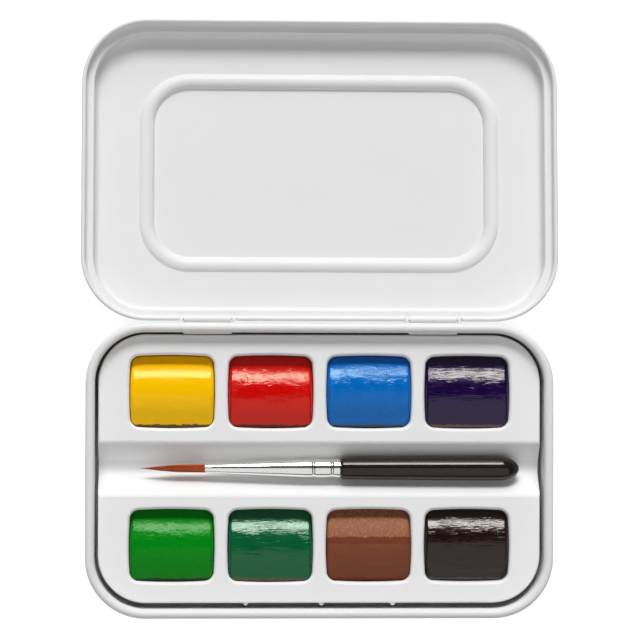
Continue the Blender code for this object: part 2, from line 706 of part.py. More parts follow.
def add_turned(name, profile, closed, finish):
    """Add a turned piece of the brush, lying along X in the trough."""
    mesh = turned(name, profile, closed)
    piece = add_part(name, mesh, (0, TRAY_CENTRE_Y, BRUSH_HEIGHT), finish)
    piece.rotation_euler = (0, math.radians(-90.0), 0)
    spin = piece.modifiers.new("turn", "SCREW")
    spin.axis = "Z"
    spin.angle = math.radians(360.0)
    spin.steps = BRUSH_STEPS
    spin.render_steps = BRUSH_STEPS
    spin.use_merge_vertices = True
    spin.merge_threshold = MERGE
    spin.use_smooth_shade = True


def ferrule_radius(along):
    """Give the ferrule's outer radius at a place along the brush."""
    taper_end = FERRULE_END - FERRULE_STRAIGHT
    share = min(1.0, (along - TUFT_ROOT) / (taper_end - TUFT_ROOT))
    return FERRULE_NOSE_RADIUS + (FERRULE_TAIL_RADIUS - FERRULE_NOSE_RADIUS) * share


def ferrule_profile():
    """Compute the ferrule's section: the crimped outside, then back along the bore."""
    places = [TUFT_ROOT, FERRULE_END - FERRULE_STRAIGHT, FERRULE_END]
    outside = [(along, ferrule_radius(along)) for along in places]
    for crimp in CRIMP_PLACES:
        middle = FERRULE_END - crimp
        for offset, sink in ((-1, 0), (0, 1), (1, 0)):
            along = middle + offset * CRIMP_WIDTH / 2
            outside.append((along, ferrule_radius(along) - sink * CRIMP_DEPTH))
    outside.sort()
    inside = [(along, ferrule_radius(along) - FERRULE_WALL) for along in reversed(places)]
    return outside + inside


def handle_profile():
    """Compute the handle's section: spigot, shoulder, swelling body and domed end."""
    spigot = FERRULE_TAIL_RADIUS - 2 * FERRULE_WALL
    start = FERRULE_END + FERRULE_WALL
    dome = HANDLE_END - HANDLE_DOME
    points = [(FERRULE_END - SPIGOT_LENGTH, 0), (FERRULE_END - SPIGOT_LENGTH, spigot), (start, spigot)]
    points.append((start, HANDLE_NECK_RADIUS - HANDLE_SHOULDER))
    points.append((start + HANDLE_SHOULDER, HANDLE_NECK_RADIUS))
    points.append((dome, HANDLE_BELLY_RADIUS))
    for step in range(1, DOME_FACETS):
        angle = math.radians(90.0) * step / DOME_FACETS
        points.append((dome + HANDLE_DOME * math.sin(angle), HANDLE_BELLY_RADIUS * math.cos(angle)))
    points.append((HANDLE_END, 0))
    return points


def tuft_radius(share):
    """Give the tuft's radius at a share of its length, straight between the stations."""
    ends = list(zip(TUFT_STATIONS, TUFT_STATIONS[1:]))
    (low, start), (high, stop) = next((pair for pair in ends if share <= pair[1][0]), ends[-1])
    return start + (stop - start) * (share - low) / (high - low)


def hair_roots():
    """Spread the hair roots evenly over the tuft's root, as (angle, share of the radius)."""
    golden = math.pi * (3 - math.sqrt(5))
    spread = [math.sqrt((index + 1 / 2) / HAIR_COUNT) for index in range(HAIR_COUNT)]
    return [(index * golden, reach) for index, reach in enumerate(spread)]


def hair_end(reach):
    """Give how far along the tuft a hair runs: the outer ones stop short, so the tip is a point."""
    return 1 - HAIR_SHORTENING_SHARE * reach**2


def hair_thickness(radius):
    """Give a hair's radius where the tuft has the given radius."""
    return radius * math.sqrt(math.pi / HAIR_COUNT) * HAIR_THICKNESS_SHARE


def around(across, angle, along):
    """Give the point at a distance from the tuft's middle line."""
    return Vector((along, across * math.cos(angle), across * math.sin(angle)))


def add_hair(bm, angle, reach):
    """Add one tapering hair that keeps its place among its neighbours."""
    end = hair_end(reach)
    shares = [share for share, _ in TUFT_STATIONS[1:] if share < end - HAIR_LAST_SHARE]
    rings = []
    for share in [-HAIR_BITE / TUFT_LENGTH] + shares:
        radius = tuft_radius(share)
        centre = around(radius * reach, angle, -share * TUFT_LENGTH)
        turns = [angle + math.radians(360.0) * side / HAIR_SIDES for side in range(HAIR_SIDES)]
        rings.append([bm.verts.new(centre + around(hair_thickness(radius), turn, 0)) for turn in turns])
    tip = bm.verts.new(around(tuft_radius(end) * reach, angle, -end * TUFT_LENGTH))
    for lower, upper in zip(rings, rings[1:]):
        for side in range(HAIR_SIDES):
            after = (side + 1) % HAIR_SIDES
            bm.faces.new((lower[side], lower[after], upper[after], upper[side]))
    for side in range(HAIR_SIDES):
        bm.faces.new((rings[-1][side], rings[-1][(side + 1) % HAIR_SIDES], tip))
    bm.faces.new(rings[0][::-1])


def report_hair_gap():
    """Print the least gap between two hairs' outlines at the root."""
    spots = [around(TUFT_RADIUS * reach, angle, 0) for angle, reach in hair_roots()]
    closest = min((first - second).length for index, first in enumerate(spots) for second in spots[:index])
    gap = closest - 2 * hair_thickness(TUFT_RADIUS)
    print("least gap between hairs at the root, mm:", round(gap / MM, 4))


def make_tuft():
    """The tuft: separate hairs rising from one thin disc that sits in the ferrule's nose."""
    disc = bars("brush_tuft", BACKING_RADIUS, BACKING_LENGTH, PIN_SIDES, [(BACKING_LENGTH / 2, 0, 0)])
    tuft = add_part("brush_tuft", disc, (TUFT_ROOT, TRAY_CENTRE_Y, BRUSH_HEIGHT), BROWN_HAIR)
    bm = bmesh.new()
    for angle, reach in hair_roots():
        add_hair(bm, angle, reach)
    hairs = add_tool("hairs", finish_mesh(bm, "hairs"), tuft.location)
    combine(tuft, hairs, "UNION")
    report_hair_gap()


def make_brush():
    """The brush, lying in the trough with its tuft to the left."""
    add_turned("brush_handle", handle_profile(), False, BLACK_LACQUER)
    add_turned("brush_ferrule", ferrule_profile(), True, FERRULE_NICKEL)
    make_tuft()


def main():
    """Build every piece."""
    make_base()
    make_pins()
    make_lid()
    tray = make_tray()
    make_cakes(tray)
    make_brush()


main()
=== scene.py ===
"""A pocket watercolor tin: the fine pieces, finishes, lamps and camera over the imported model."""

import logging
import math
import random
from collections.abc import Callable, Iterator
from contextlib import contextmanager
from dataclasses import dataclass
from enum import Enum

import bmesh
import bpy
from mathutils import Matrix, Vector, noise


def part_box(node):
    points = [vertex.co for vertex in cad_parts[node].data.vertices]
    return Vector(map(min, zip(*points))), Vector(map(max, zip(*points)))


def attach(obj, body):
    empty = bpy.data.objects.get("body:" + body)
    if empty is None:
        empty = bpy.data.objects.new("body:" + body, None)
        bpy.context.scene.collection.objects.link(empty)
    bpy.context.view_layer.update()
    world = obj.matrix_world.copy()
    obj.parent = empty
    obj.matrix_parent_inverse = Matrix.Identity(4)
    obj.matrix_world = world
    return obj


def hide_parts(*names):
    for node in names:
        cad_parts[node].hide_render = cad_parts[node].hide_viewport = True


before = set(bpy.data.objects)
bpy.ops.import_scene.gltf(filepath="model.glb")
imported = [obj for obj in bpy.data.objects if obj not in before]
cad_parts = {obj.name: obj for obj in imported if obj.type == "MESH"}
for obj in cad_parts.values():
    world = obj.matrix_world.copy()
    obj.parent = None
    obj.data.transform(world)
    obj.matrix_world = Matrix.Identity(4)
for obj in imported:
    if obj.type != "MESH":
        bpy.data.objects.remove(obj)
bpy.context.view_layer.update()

logging.basicConfig(level=logging.INFO, format="%(name)s: %(message)s")
LOG = logging.getLogger("travel_set")

MM = 0.001
MERGE = 0.0005 * MM
Point = tuple[float, float]
Place = tuple[float, float, float]
Colour = tuple[float, float, float]
Piece = bpy.types.Object
Socket = bpy.types.NodeSocket
Material = bpy.types.Material

QUARTER = 90.0  # degrees
SMALL_ROUND, LARGE_ROUND = 8, 12  # facets of a small and of a large rounding
PAST = 2.0 * MM  # how far a cutting tool reaches past what it cuts
MIDDLE = (0.3, 0.7)  # the part of a cloudy pattern that holds nearly all its values
COLOUR_A, COLOUR_B, COLOUR_OUT = 6, 7, 2  # a Mix node's sockets for colours


class Cut(Enum):
    """How a tool shape changes a piece."""

    JOIN = "UNION"
    TAKE = "DIFFERENCE"


class Sum(Enum):
    """How two patterns are combined."""

    ADDED = "ADD"
    TIMES = "MULTIPLY"
    LARGER = "MAXIMUM"


# ---- working at the bench ----


def pick(*objects: Piece) -> None:
    """Select these objects alone.

    Args:
        objects: The objects; the first one becomes active.
    """
    bpy.ops.object.select_all(action="DESELECT")
    for piece in objects:
        piece.select_set(True)
    bpy.context.view_layer.objects.active = objects[0]


@contextmanager
def editing(piece: Piece) -> Iterator[Piece]:
    """Work on a piece in edit mode.

    Args:
        piece: The mesh or curve to open.

    Returns:
        The same piece, open for editing until the block ends.
    """
    pick(piece)
    bpy.ops.object.mode_set(mode="EDIT")
    yield piece
    bpy.ops.object.mode_set(mode="OBJECT")


def select_edges(
    piece: Piece, wanted: Callable[[Vector, Vector], bool], open_only: bool = False
) -> None:
    """Select the edges whose two ends pass a test, in edit mode.

    Args:
        piece: The mesh being edited.
        wanted: Says of an edge's two ends whether it is wanted.
        open_only: Whether only edges with a face on one side count.
    """
    bpy.ops.mesh.select_mode(type="EDGE")
    bpy.ops.mesh.select_all(action="DESELECT")
    bm = bmesh.from_edit_mesh(piece.data)
    for edge in bm.edges:
        near, far = edge.verts
        edge.select_set((edge.is_boundary or not open_only) and wanted(near.co, far.co))
    bmesh.update_edit_mesh(piece.data)


def select_border(piece: Piece, wanted: Callable[[Vector], bool]) -> None:
    """Select the open edges whose two ends are both wanted, in edit mode."""
    select_edges(piece, lambda a, b: wanted(a) and wanted(b), open_only=True)


def close_border(piece: Piece, wanted: Callable[[Vector], bool], margin: float) -> None:
    """Fill an open border with a flat face and a narrow flat ring round it, in edit mode.

    Args:
        piece: The mesh being edited.
        wanted: Says of a vertex's place whether it lies on the border.
        margin: The ring's width.
    """
    select_border(piece, wanted)
    bpy.ops.mesh.edge_face_add()
    bpy.ops.mesh.select_mode(type="FACE")
    bpy.ops.mesh.inset(thickness=margin)


def move_points(piece: Piece, moved: Callable[[Vector], Vector]) -> None:
    """Shape a mesh by hand, point by point.

    Args:
        piece: The mesh to shape.
        moved: Gives a point's new place from its old one.
    """
    for vertex in piece.data.vertices:
        vertex.co = moved(vertex.co)
    piece.data.update()


def combine(piece: Piece, tool: Piece, how: Cut) -> None:
    """Use a tool shape on a piece and throw the tool away.

    Args:
        piece: The mesh that is changed.
        tool: The shape that it is joined with or cut by.
        how: Which of these it is.
    """
    modifier = piece.modifiers.new("tool", "BOOLEAN")
    modifier.operation = how.value
    modifier.solver = "EXACT"
    modifier.object = tool
    pick(piece)
    bpy.ops.object.modifier_apply(modifier=modifier.name)
    bpy.data.objects.remove(tool, do_unlink=True)


def joined(first: Piece, *others: Piece) -> Piece:
    """Join meshes.

    Args:
        first: The mesh that takes in the others.
        others: The meshes that are joined to it.

    Returns:
        The first mesh.
    """
    pick(first, *others)
    bpy.ops.object.join()
    return first


def settled(piece: Piece) -> Piece:
    """Put a piece's place, turn and scale into its mesh.

    Args:
        piece: The piece.

    Returns:
        The same piece, at the origin.
    """
    pick(piece)
    bpy.ops.object.transform_apply(location=True, rotation=True, scale=True)
    return piece


def copied(piece: Piece, offset: Place) -> Piece:
    """Copy a piece with its own mesh and put the copy's place in that mesh.

    Args:
        piece: The mesh to copy.
        offset: How far the copy is moved.

    Returns:
        The copy.
    """
    pick(piece)
    bpy.ops.object.duplicate(linked=False)
    twin = bpy.context.object
    twin.location = offset
    return settled(twin)


def tidy_mesh(piece: Piece) -> None:
    """Merge a mesh's doubled points and turn its faces outward.

    Args:
        piece: The mesh to tidy.
    """
    with editing(piece):
        bpy.ops.mesh.select_mode(type="VERT")
        bpy.ops.mesh.select_all(action="SELECT")
        bpy.ops.mesh.remove_doubles(threshold=MERGE)
        bpy.ops.mesh.normals_make_consistent(inside=False)


def smooth(piece: Piece, angle: float = 40.0, weighted: bool = True) -> None:
    """Shade a piece smooth, keep its creases and let its flats shade flat.

    Args:
        piece: The mesh to shade.
        angle: Creases sharper than this many degrees stay sharp.
        weighted: Whether large faces lead the shading beside them.
    """
    tidy_mesh(piece)
    pick(piece)
    bpy.ops.object.shade_smooth_by_angle(angle=math.radians(angle))
    if weighted:
        modifier = piece.modifiers.new("flats", "WEIGHTED_NORMAL")
        modifier.keep_sharp = True
        bpy.ops.object.modifier_apply(modifier=modifier.name)


def box(low: Place, high: Place) -> Piece:
    """Add an upright block between two corners.

    Args:
        low: Its lowest corner.
        high: Its highest corner.

    Returns:
        The block.
    """
    middle = (Vector(low) + Vector(high)) / 2
    bpy.ops.object.select_all(action="DESELECT")
    bpy.ops.mesh.primitive_cube_add(size=1, location=middle)
    block = bpy.context.object
    block.scale = Vector(high) - Vector(low)
    return settled(block)


def bar(radius: float, length: float, sides: int, middle: Place, upright: bool = False) -> Piece:
    """Add a round bar.

    Args:
        radius: The bar's radius.
        length: Its length.
        sides: The number of its sides.
        middle: The place of its middle.
        upright: Whether it stands up; otherwise it lies along X.

    Returns:
        The bar.
    """
    bpy.ops.object.select_all(action="DESELECT")
    turn = 0.0 if upright else math.radians(QUARTER)
    bpy.ops.mesh.primitive_cylinder_add(
        vertices=sides, radius=radius, depth=length, location=middle, rotation=(0, turn, 0)
    )
    return settled(bpy.context.object)


def single_point(place: Place) -> Piece:
    """Add a mesh of one point, left open in edit mode.

    Args:
        place: The point's place.

    Returns:
        The mesh's object, at the origin.
    """
    bpy.ops.object.select_all(action="DESELECT")
    bpy.ops.mesh.primitive_plane_add(size=MM, enter_editmode=True)
    bpy.ops.mesh.select_mode(type="VERT")
    bpy.ops.mesh.select_all(action="SELECT")
    bpy.ops.mesh.merge(type="CENTER")
    bpy.ops.mesh.select_all(action="SELECT")
    bpy.ops.transform.translate(value=place)
    return bpy.context.object


class Section:
    """A section traced from point to point: across is outward, up is up."""

    def __init__(self, across: float, up: float) -> None:
        """Start the section.

        Args:
            across: The first point's place outward.
            up: Its height.
        """
        self.trace = single_point((across, up, 0))
        self.across = across
        self.up = up

    def line(self, across: float, up: float) -> "Section":
        """Run straight to a point.

        Args:
            across: The point's place outward.
            up: Its height.

        Returns:
            The section.
        """
        step = (across - self.across, up - self.up, 0)
        bpy.ops.mesh.extrude_region_move(TRANSFORM_OT_translate={"value": step})
        self.across, self.up = across, up
        return self

    def arc(self, across: float, up: float, turn: float, steps: int) -> "Section":
        """Run round a centre.

        Args:
            across: The centre's place outward.
            up: The centre's height.
            turn: The angle in degrees, counted from outward to up.
            steps: The number of facets.

        Returns:
            The section.
        """
        angle = math.radians(turn)
        bpy.ops.mesh.spin(steps=steps, angle=-angle, center=(across, up, 0), axis=(0, 0, 1))
        side, rise = self.across - across, self.up - up
        self.across = across + side * math.cos(angle) - rise * math.sin(angle)
        self.up = up + side * math.sin(angle) + rise * math.cos(angle)
        return self

    def done(self) -> Piece:
        """End the section and return it as a mesh of edges."""
        bpy.ops.object.mode_set(mode="OBJECT")
        return self.trace

    def run_round(self, outline: Piece) -> Piece:
        """Run the section round an outline.

        Args:
            outline: A closed ring of edges, level.

        Returns:
            The swept mesh, open where the section ends.
        """
        section = self.done()
        pick(section)
        bpy.ops.object.convert(target="CURVE")
        section = bpy.context.object
        pick(outline)
        bpy.ops.object.convert(target="CURVE")
        path = bpy.context.object
        points = [point.co.to_3d() for point in path.data.splines[0].points]
        if sum(a.x * b.y - b.x * a.y for a, b in zip(points, points[1:] + points[:1])) < 0:
            with editing(path):
                bpy.ops.curve.select_all(action="SELECT")
                bpy.ops.curve.switch_direction()
        path.data.dimensions = "3D"
        path.data.twist_mode = "Z_UP"
        path.data.bevel_mode = "OBJECT"
        path.data.bevel_object = section
        pick(path)
        bpy.ops.object.convert(target="MESH")
        bpy.data.objects.remove(section, do_unlink=True)
        return bpy.context.object

    def turned(self, steps: int, middle: Place) -> Piece:
        """Turn the section about a line along X: its across runs along X and its up is the radius.

        Args:
            steps: The number of steps in a full turn.
            middle: The place that the section's origin goes to.

        Returns:
            The turned mesh.
        """
        piece = self.done()
        with editing(piece):
            bpy.ops.mesh.select_all(action="SELECT")
            bpy.ops.mesh.spin(steps=steps, angle=math.radians(4 * QUARTER), center=(0, 0, 0), axis=(1, 0, 0))
        piece.location = middle
        settled(piece)
        tidy_mesh(piece)
        return piece


def rounded_ring(
    width: float, depth: float, corner: float, facets: int, middle: Place = (0, 0, 0)
) -> Piece:
    """Draw a level rectangle with round corners, as a ring of edges.

    Args:
        width: Its size along X.
        depth: Its size along Y.
        corner: The corners' radius.
        facets: The number of facets in a corner.
        middle: The place of its middle.

    Returns:
        The ring.
    """
    bpy.ops.object.select_all(action="DESELECT")
    bpy.ops.mesh.primitive_plane_add(size=1, location=middle)
    ring = bpy.context.object
    ring.scale = (width, depth, 1)
    settled(ring)
    with editing(ring):
        bpy.ops.mesh.select_mode(type="VERT")
        bpy.ops.mesh.select_all(action="SELECT")
        bpy.ops.mesh.bevel(offset=corner, offset_type="OFFSET", segments=facets, affect="VERTICES")
        bpy.ops.mesh.delete(type="ONLY_FACE")
    return ring


# ---- finishes ----


class Paintwork:
    """A material and the nodes that it is built from."""

    def __init__(self, name: str) -> None:
        """Start a material with its shader and its object coordinates.

        Args:
            name: The material's name.
        """
        self.material = bpy.data.materials.new(name)
        self.material.use_nodes = True
        self.nodes = self.material.node_tree.nodes
        self.links = self.material.node_tree.links
        self.shader = next(node for node in self.nodes if node.type == "BSDF_PRINCIPLED")
        self.place = self.nodes.new("ShaderNodeTexCoord").outputs["Object"]

    def set(self, **values: float | tuple) -> None:
        """Set plain values on the shader's own sockets, a space in a name written as an underscore."""
        for name, value in values.items():
            self.shader.inputs[name.replace("_", " ")].default_value = value

    def stretched(self, scale: Place) -> Socket:
        """Stretch the coordinates.

        Args:
            scale: How many pattern units a metre holds along X, Y and Z.

        Returns:
            The stretched coordinates.
        """
        mapping = self.nodes.new("ShaderNodeMapping")
        mapping.inputs["Scale"].default_value = scale
        self.links.new(self.place, mapping.inputs["Vector"])
        return mapping.outputs["Vector"]

    def along(self, axis: str) -> Socket:
        """Give one of the coordinates.

        Args:
            axis: X, Y or Z.

        Returns:
            The place along it, in metres.
        """
        parts = self.nodes.new("ShaderNodeSeparateXYZ")
        self.links.new(self.place, parts.inputs["Vector"])
        return parts.outputs[axis]

    def grain(
        self, scale: Place, detail: float = 3.0, rough: float = 0.5, twist: float = 0.0
    ) -> Socket:
        """Make a cloudy pattern.

        Args:
            scale: Pattern units to a metre along X, Y and Z.
            detail: How many octaves it has.
            rough: How strong the fine ones are.
            twist: How far it is distorted.

        Returns:
            The pattern, from 0 to 1.
        """
        cloud = self.nodes.new("ShaderNodeTexNoise")
        cloud.inputs["Scale"].default_value = 1.0
        cloud.inputs["Detail"].default_value = detail
        cloud.inputs["Roughness"].default_value = rough
        cloud.inputs["Distortion"].default_value = twist
        self.links.new(self.stretched(scale), cloud.inputs["Vector"])
        return cloud.outputs["Fac"]

    def specks(self, scale: Place) -> Socket:
        """Make a pattern of scattered dots.

        Args:
            scale: Cells to a metre along X, Y and Z.

        Returns:
            The distance from the nearest dot's middle.
        """
        cells = self.nodes.new("ShaderNodeTexVoronoi")
        cells.inputs["Scale"].default_value = 1.0
        self.links.new(self.stretched(scale), cells.inputs["Vector"])
        return cells.outputs["Distance"]

    def range(
        self, value: Socket, low: float, high: float, to_low: float = 0.0, to_high: float = 1.0
    ) -> Socket:
        """Stretch part of a pattern to a new range.

        Args:
            value: The pattern.
            low: The value that becomes to_low.
            high: The value that becomes to_high.
            to_low: The result at low.
            to_high: The result at high.

        Returns:
            The result, clamped to its range.
        """
        mapped = self.nodes.new("ShaderNodeMapRange")
        ends = {"From Min": low, "From Max": high, "To Min": to_low, "To Max": to_high}
        for name, number in ends.items():
            mapped.inputs[name].default_value = number
        self.links.new(value, mapped.inputs["Value"])
        return mapped.outputs["Result"]

    def worked(self, first: Socket, second: Socket, how: Sum) -> Socket:
        """Combine two patterns.

        Args:
            first: The first pattern.
            second: The second pattern.
            how: What is done with them.

        Returns:
            The result.
        """
        node = self.nodes.new("ShaderNodeMath")
        node.operation = how.value
        self.links.new(first, node.inputs[0])
        self.links.new(second, node.inputs[1])
        return node.outputs[0]

    def blend(self, share: Socket, first: Colour | Socket, second: Colour) -> Socket:
        """Mix two colours by a pattern.

        Args:
            share: The pattern: 0 gives the first, 1 the second.
            first: The first colour.
            second: The second colour.

        Returns:
            The mixed colour.
        """
        mix = self.nodes.new("ShaderNodeMix")
        mix.data_type = "RGBA"
        self.links.new(share, mix.inputs["Factor"])
        if isinstance(first, tuple):
            mix.inputs[COLOUR_A].default_value = (*first, 1.0)
        else:
            self.links.new(first, mix.inputs[COLOUR_A])
        mix.inputs[COLOUR_B].default_value = (*second, 1.0)
        return mix.outputs[COLOUR_OUT]

    def colour(self, value: Socket) -> None:
        """Lead a pattern to the base colour."""
        self.links.new(value, self.shader.inputs["Base Color"])

    def roughness(self, value: Socket) -> None:
        """Lead a pattern to the roughness."""
        self.links.new(value, self.shader.inputs["Roughness"])

    def relief(self, *layers: tuple[Socket, float]) -> None:
        """Lay bumps over each other.

        Args:
            layers: Each pattern with the height in metres that its full range stands for.
        """
        normal = None
        for pattern, height in layers:
            bump = self.nodes.new("ShaderNodeBump")
            bump.inputs["Strength"].default_value = 1.0
            bump.inputs["Distance"].default_value = height
            self.links.new(pattern, bump.inputs["Height"])
            if normal is not None:
                self.links.new(normal, bump.inputs["Normal"])
            normal = bump.outputs["Normal"]
        self.links.new(normal, self.shader.inputs["Normal"])


@dataclass(frozen=True)
class Finish:
    """Two colours clouded together, an uneven gloss and fine bumps.

    The scales of its patterns are in units to a metre, and a bump's height is in metres.
    """

    name: str
    plain: Colour
    cloudy: Colour
    clouds: Place
    mottle: Place
    rough: Point
    bumps: tuple[tuple[Place, float, float], ...] = ()
    sockets: tuple[tuple[str, float | tuple], ...] = ()

    def share(self, work: Paintwork) -> Socket:
        """Give the pattern that mixes the two colours."""
        return work.grain(self.clouds)

    def material(self) -> Material:
        """Make the material.

        Returns:
            The material.
        """
        work = Paintwork(self.name)
        work.colour(work.blend(self.share(work), self.plain, self.cloudy))
        work.roughness(work.range(work.grain(self.mottle), *MIDDLE, *self.rough))
        work.set(**dict(self.sockets))
        if self.bumps:
            work.relief(*((work.grain(scale, detail), height) for scale, detail, height in self.bumps))
        return work.material


@dataclass(frozen=True)
class Enamel(Finish):
    """Baked white enamel on tinplate: satin, very slightly uneven."""

    name: str = "white_enamel"
    plain: Colour = (0.86, 0.86, 0.86)
    cloudy: Colour = (0.83, 0.83, 0.827)
    clouds: Place = (60, 60, 60)
    mottle: Place = (250, 250, 250)
    rough: Point = (0.4, 0.46)
    bumps: tuple = (((900, 900, 900), 1.0, 0.003 * MM), ((150, 150, 150), 1.0, 0.01 * MM))
    sockets: tuple = (("IOR", 1.5), ("Specular_IOR_Level", 0.25))


@dataclass(frozen=True)
class MouldedWhite(Finish):
    """White moulded plastic with a satin skin."""

    name: str = "moulded_white"
    plain: Colour = (0.92, 0.92, 0.918)
    cloudy: Colour = (0.90, 0.90, 0.90)
    clouds: Place = (90, 90, 90)
    mottle: Place = (400, 400, 400)
    rough: Point = (0.5, 0.58)
    bumps: tuple = (((1600, 1600, 1600), 2.0, 0.003 * MM),)
    sockets: tuple = (("IOR", 1.48), ("Specular_IOR_Level", 0.2))


@dataclass(frozen=True)
class WireSteel(Finish):
    """Plain drawn wire."""

    name: str = "wire_steel"
    plain: Colour = (0.62, 0.62, 0.62)
    cloudy: Colour = (0.42, 0.42, 0.43)
    clouds: Place = (300, 3000, 3000)
    mottle: Place = (200, 4000, 4000)
    rough: Point = (0.25, 0.42)
    sockets: tuple = (("Metallic", 1.0),)


@dataclass(frozen=True)
class Nickel(Finish):
    """Polished nickel plate, drawn along its length."""

    name: str = "polished_nickel"
    plain: Colour = (0.95, 0.945, 0.93)
    cloudy: Colour = (0.88, 0.875, 0.86)
    clouds: Place = (100, 2500, 2500)
    mottle: Place = (120, 3000, 3000)
    rough: Point = (0.1, 0.2)
    sockets: tuple = (("Metallic", 1.0),)


@dataclass(frozen=True)
class Lacquer(Finish):
    """Black lacquer over turned wood."""

    name: str = "black_lacquer"
    plain: Colour = (0.009, 0.006, 0.005)
    cloudy: Colour = (0.019, 0.014, 0.012)
    clouds: Place = (80, 900, 900)
    mottle: Place = (300, 600, 600)
    rough: Point = (0.1, 0.2)
    bumps: tuple = (((200, 700, 700), 2.0, 0.008 * MM),)
    sockets: tuple = (
        ("IOR", 1.5),
        ("Specular_IOR_Level", 0.4),
        ("Specular_Tint", (1.0, 0.9, 0.86, 1.0)),
        ("Coat_Weight", 0.1),
        ("Coat_Roughness", 0.06),
    )


@dataclass(frozen=True)
class Hair(Finish):
    """Orange-brown hair, finely striped along its length."""

    name: str = "brown_hair"
    plain: Colour = (0.36, 0.072, 0.018)
    cloudy: Colour = (0.74, 0.18, 0.042)
    clouds: Place = (120, 5000, 5000)
    mottle: Place = (300, 3000, 3000)
    rough: Point = (0.4, 0.6)
    sockets: tuple = (("IOR", 1.45),)

    def share(self, work: Paintwork) -> Socket:
        """Give the pattern that mixes the two colours, sharpened to stripes."""
        return work.range(super().share(work), *MIDDLE)


class Skin(Enum):
    """How a cake's skin has dried: units to a metre of its waves and its grain, and the grain's height."""

    SMOOTH = ((300, 900, 500), (1500, 3000, 3000), 0.004 * MM)
    BUMPY = ((700, 1100, 500), (1900, 2100, 3000), 0.075 * MM)
    BROKEN = ((700, 1300, 500), (2300, 2600, 3000), 0.10 * MM)
    STREAKED = ((160, 1700, 500), (420, 2600, 3000), 0.065 * MM)


@dataclass(frozen=True)
class Paint:
    """A cake of dried paint, its crown and its skin.

    The scales of its patterns are in units to a metre, and a pair of values is where a pattern
    starts and stops to tell.
    """

    name: str
    colour: Colour
    shade: Colour
    rim: Colour
    arc: float
    crest: float
    skin: Skin = Skin.SMOOTH
    gloss: float = 0.14
    shine: float = 0.5
    # colour of the bright specks on the crust: painted glints over real grit
    glint_speck: Colour | None = None
    tint: Colour = (1.0, 0.93, 0.88)
    shaded: Point = (0.35, 0.7)
    speckled_shade: float = 0.15
    gloss_spread: float = 0.1
    wave_height: float = 0.03 * MM
    patches: Place = (260, 420, 300)
    patch_edge: Point = (0.42, 0.58)
    patch_least: float = 0.25
    ragged: float = 0.25 * MM
    ragged_waves: Place = (700, 700, 700)
    strip: Point = (0.45 * MM, 0.65 * MM)
    strip_dullness: float = 0.35
    # where the crust, partly painted highlight, starts, and the width of the painted dark band in front of
    # it
    crust_and_sheen_from: float = 0.62
    crust_and_sheen_edge: float = 0.2 * MM
    painted_dark_band_width: float = 1.6 * MM
    dots: Place = (3400, 3400, 3400)
    dot_edge: Point = (0.2, 0.36)
    drifts: Place = (900, 900, 900)
    drift_edge: Point = (0.38, 0.55)
    grit_height: float = 0.05 * MM

    def crust_and_sheen(self, work: Paintwork, colour: Socket, depth: Socket, edge: float) -> tuple[Socket, Socket]:
        """Lay a gritty crust over the back of the cake, with a darker line in front of it: the crust's
        lighter colour and its bright specks are partly painted highlight and painted glints, and the darker
        line is painted shade where no lamp is reflected.

        Args:
            work: The material.
            colour: The colour under the crust.
            depth: The ragged place along Y.
            edge: Where the crust starts along Y.

        Returns:
            The colour with the crust and its painted highlight on it, and the pattern of the grit, which
            also places the painted glints.
        """
        start = edge - self.painted_dark_band_width
        crust_and_sheen = work.range(depth, edge, edge + self.crust_and_sheen_edge)
        line = work.range(depth, start, start + self.crust_and_sheen_edge)
        # painted shade: a darker band in the rim colour in front of the crust; the crust's lighter shade
        # colour is partly painted highlight
        colour = work.blend(crust_and_sheen, work.blend(line, colour, self.rim), self.shade)
        # bright specks: real grit in the relief, painted glints in the colour
        grit_and_glints = work.range(work.specks(self.dots), *self.dot_edge, 1, 0)
        drifts = work.range(work.grain(self.drifts, detail=2.0), *self.drift_edge)
        grit_and_glints = work.worked(work.worked(grit_and_glints, drifts, Sum.TIMES), crust_and_sheen, Sum.TIMES)
        return work.blend(grit_and_glints, colour, self.glint_speck), grit_and_glints

    def material(self, low: Place, high: Place) -> Material:
        """Make the material for a cake between two corners.

        Args:
            low: The cake's lowest corner.
            high: Its highest corner.

        Returns:
            The material.
        """
        slow, fine, height = self.skin.value
        work = Paintwork("paint_" + self.name)
        cloud = work.grain(slow, detail=4.0)
        skin = work.grain(fine, detail=1.0, twist=0.6)
        torn = work.range(
            work.grain(self.ragged_waves, detail=4.0, rough=0.7), *MIDDLE, -self.ragged, self.ragged
        )
        depth = work.worked(work.along("Y"), torn, Sum.ADDED)
        most = 1.0 if self.glint_speck is None else self.speckled_shade
        colour = work.blend(work.range(cloud, *self.shaded, 0, most), self.colour, self.shade)
        rough = work.range(skin, *MIDDLE, self.gloss, self.gloss + self.gloss_spread)
        patches = work.range(work.grain(self.patches, detail=2.0), *self.patch_edge, self.patch_least, 1)
        relief = [(cloud, self.wave_height), (work.worked(skin, patches, Sum.TIMES), height)]
        # the brown alone: a crust that is partly painted highlight, with painted glints and a painted dark
        # band in front
        if self.glint_speck is not None:
            edge = low[1] + self.crust_and_sheen_from * (high[1] - low[1])
            colour, grit_and_glints = self.crust_and_sheen(work, colour, depth, edge)
            relief.append((grit_and_glints, self.grit_height))
        strip = work.range(depth, low[1] + self.strip[0], low[1] + self.strip[1], 1, 0)
        work.colour(work.blend(strip, colour, self.rim))
        work.roughness(work.worked(rough, work.range(strip, 0, 1, 0, self.strip_dullness), Sum.ADDED))
        work.set(IOR=1.5, Specular_IOR_Level=self.shine, Specular_Tint=(*self.tint, 1.0))
        work.relief(*relief)
        return work.material


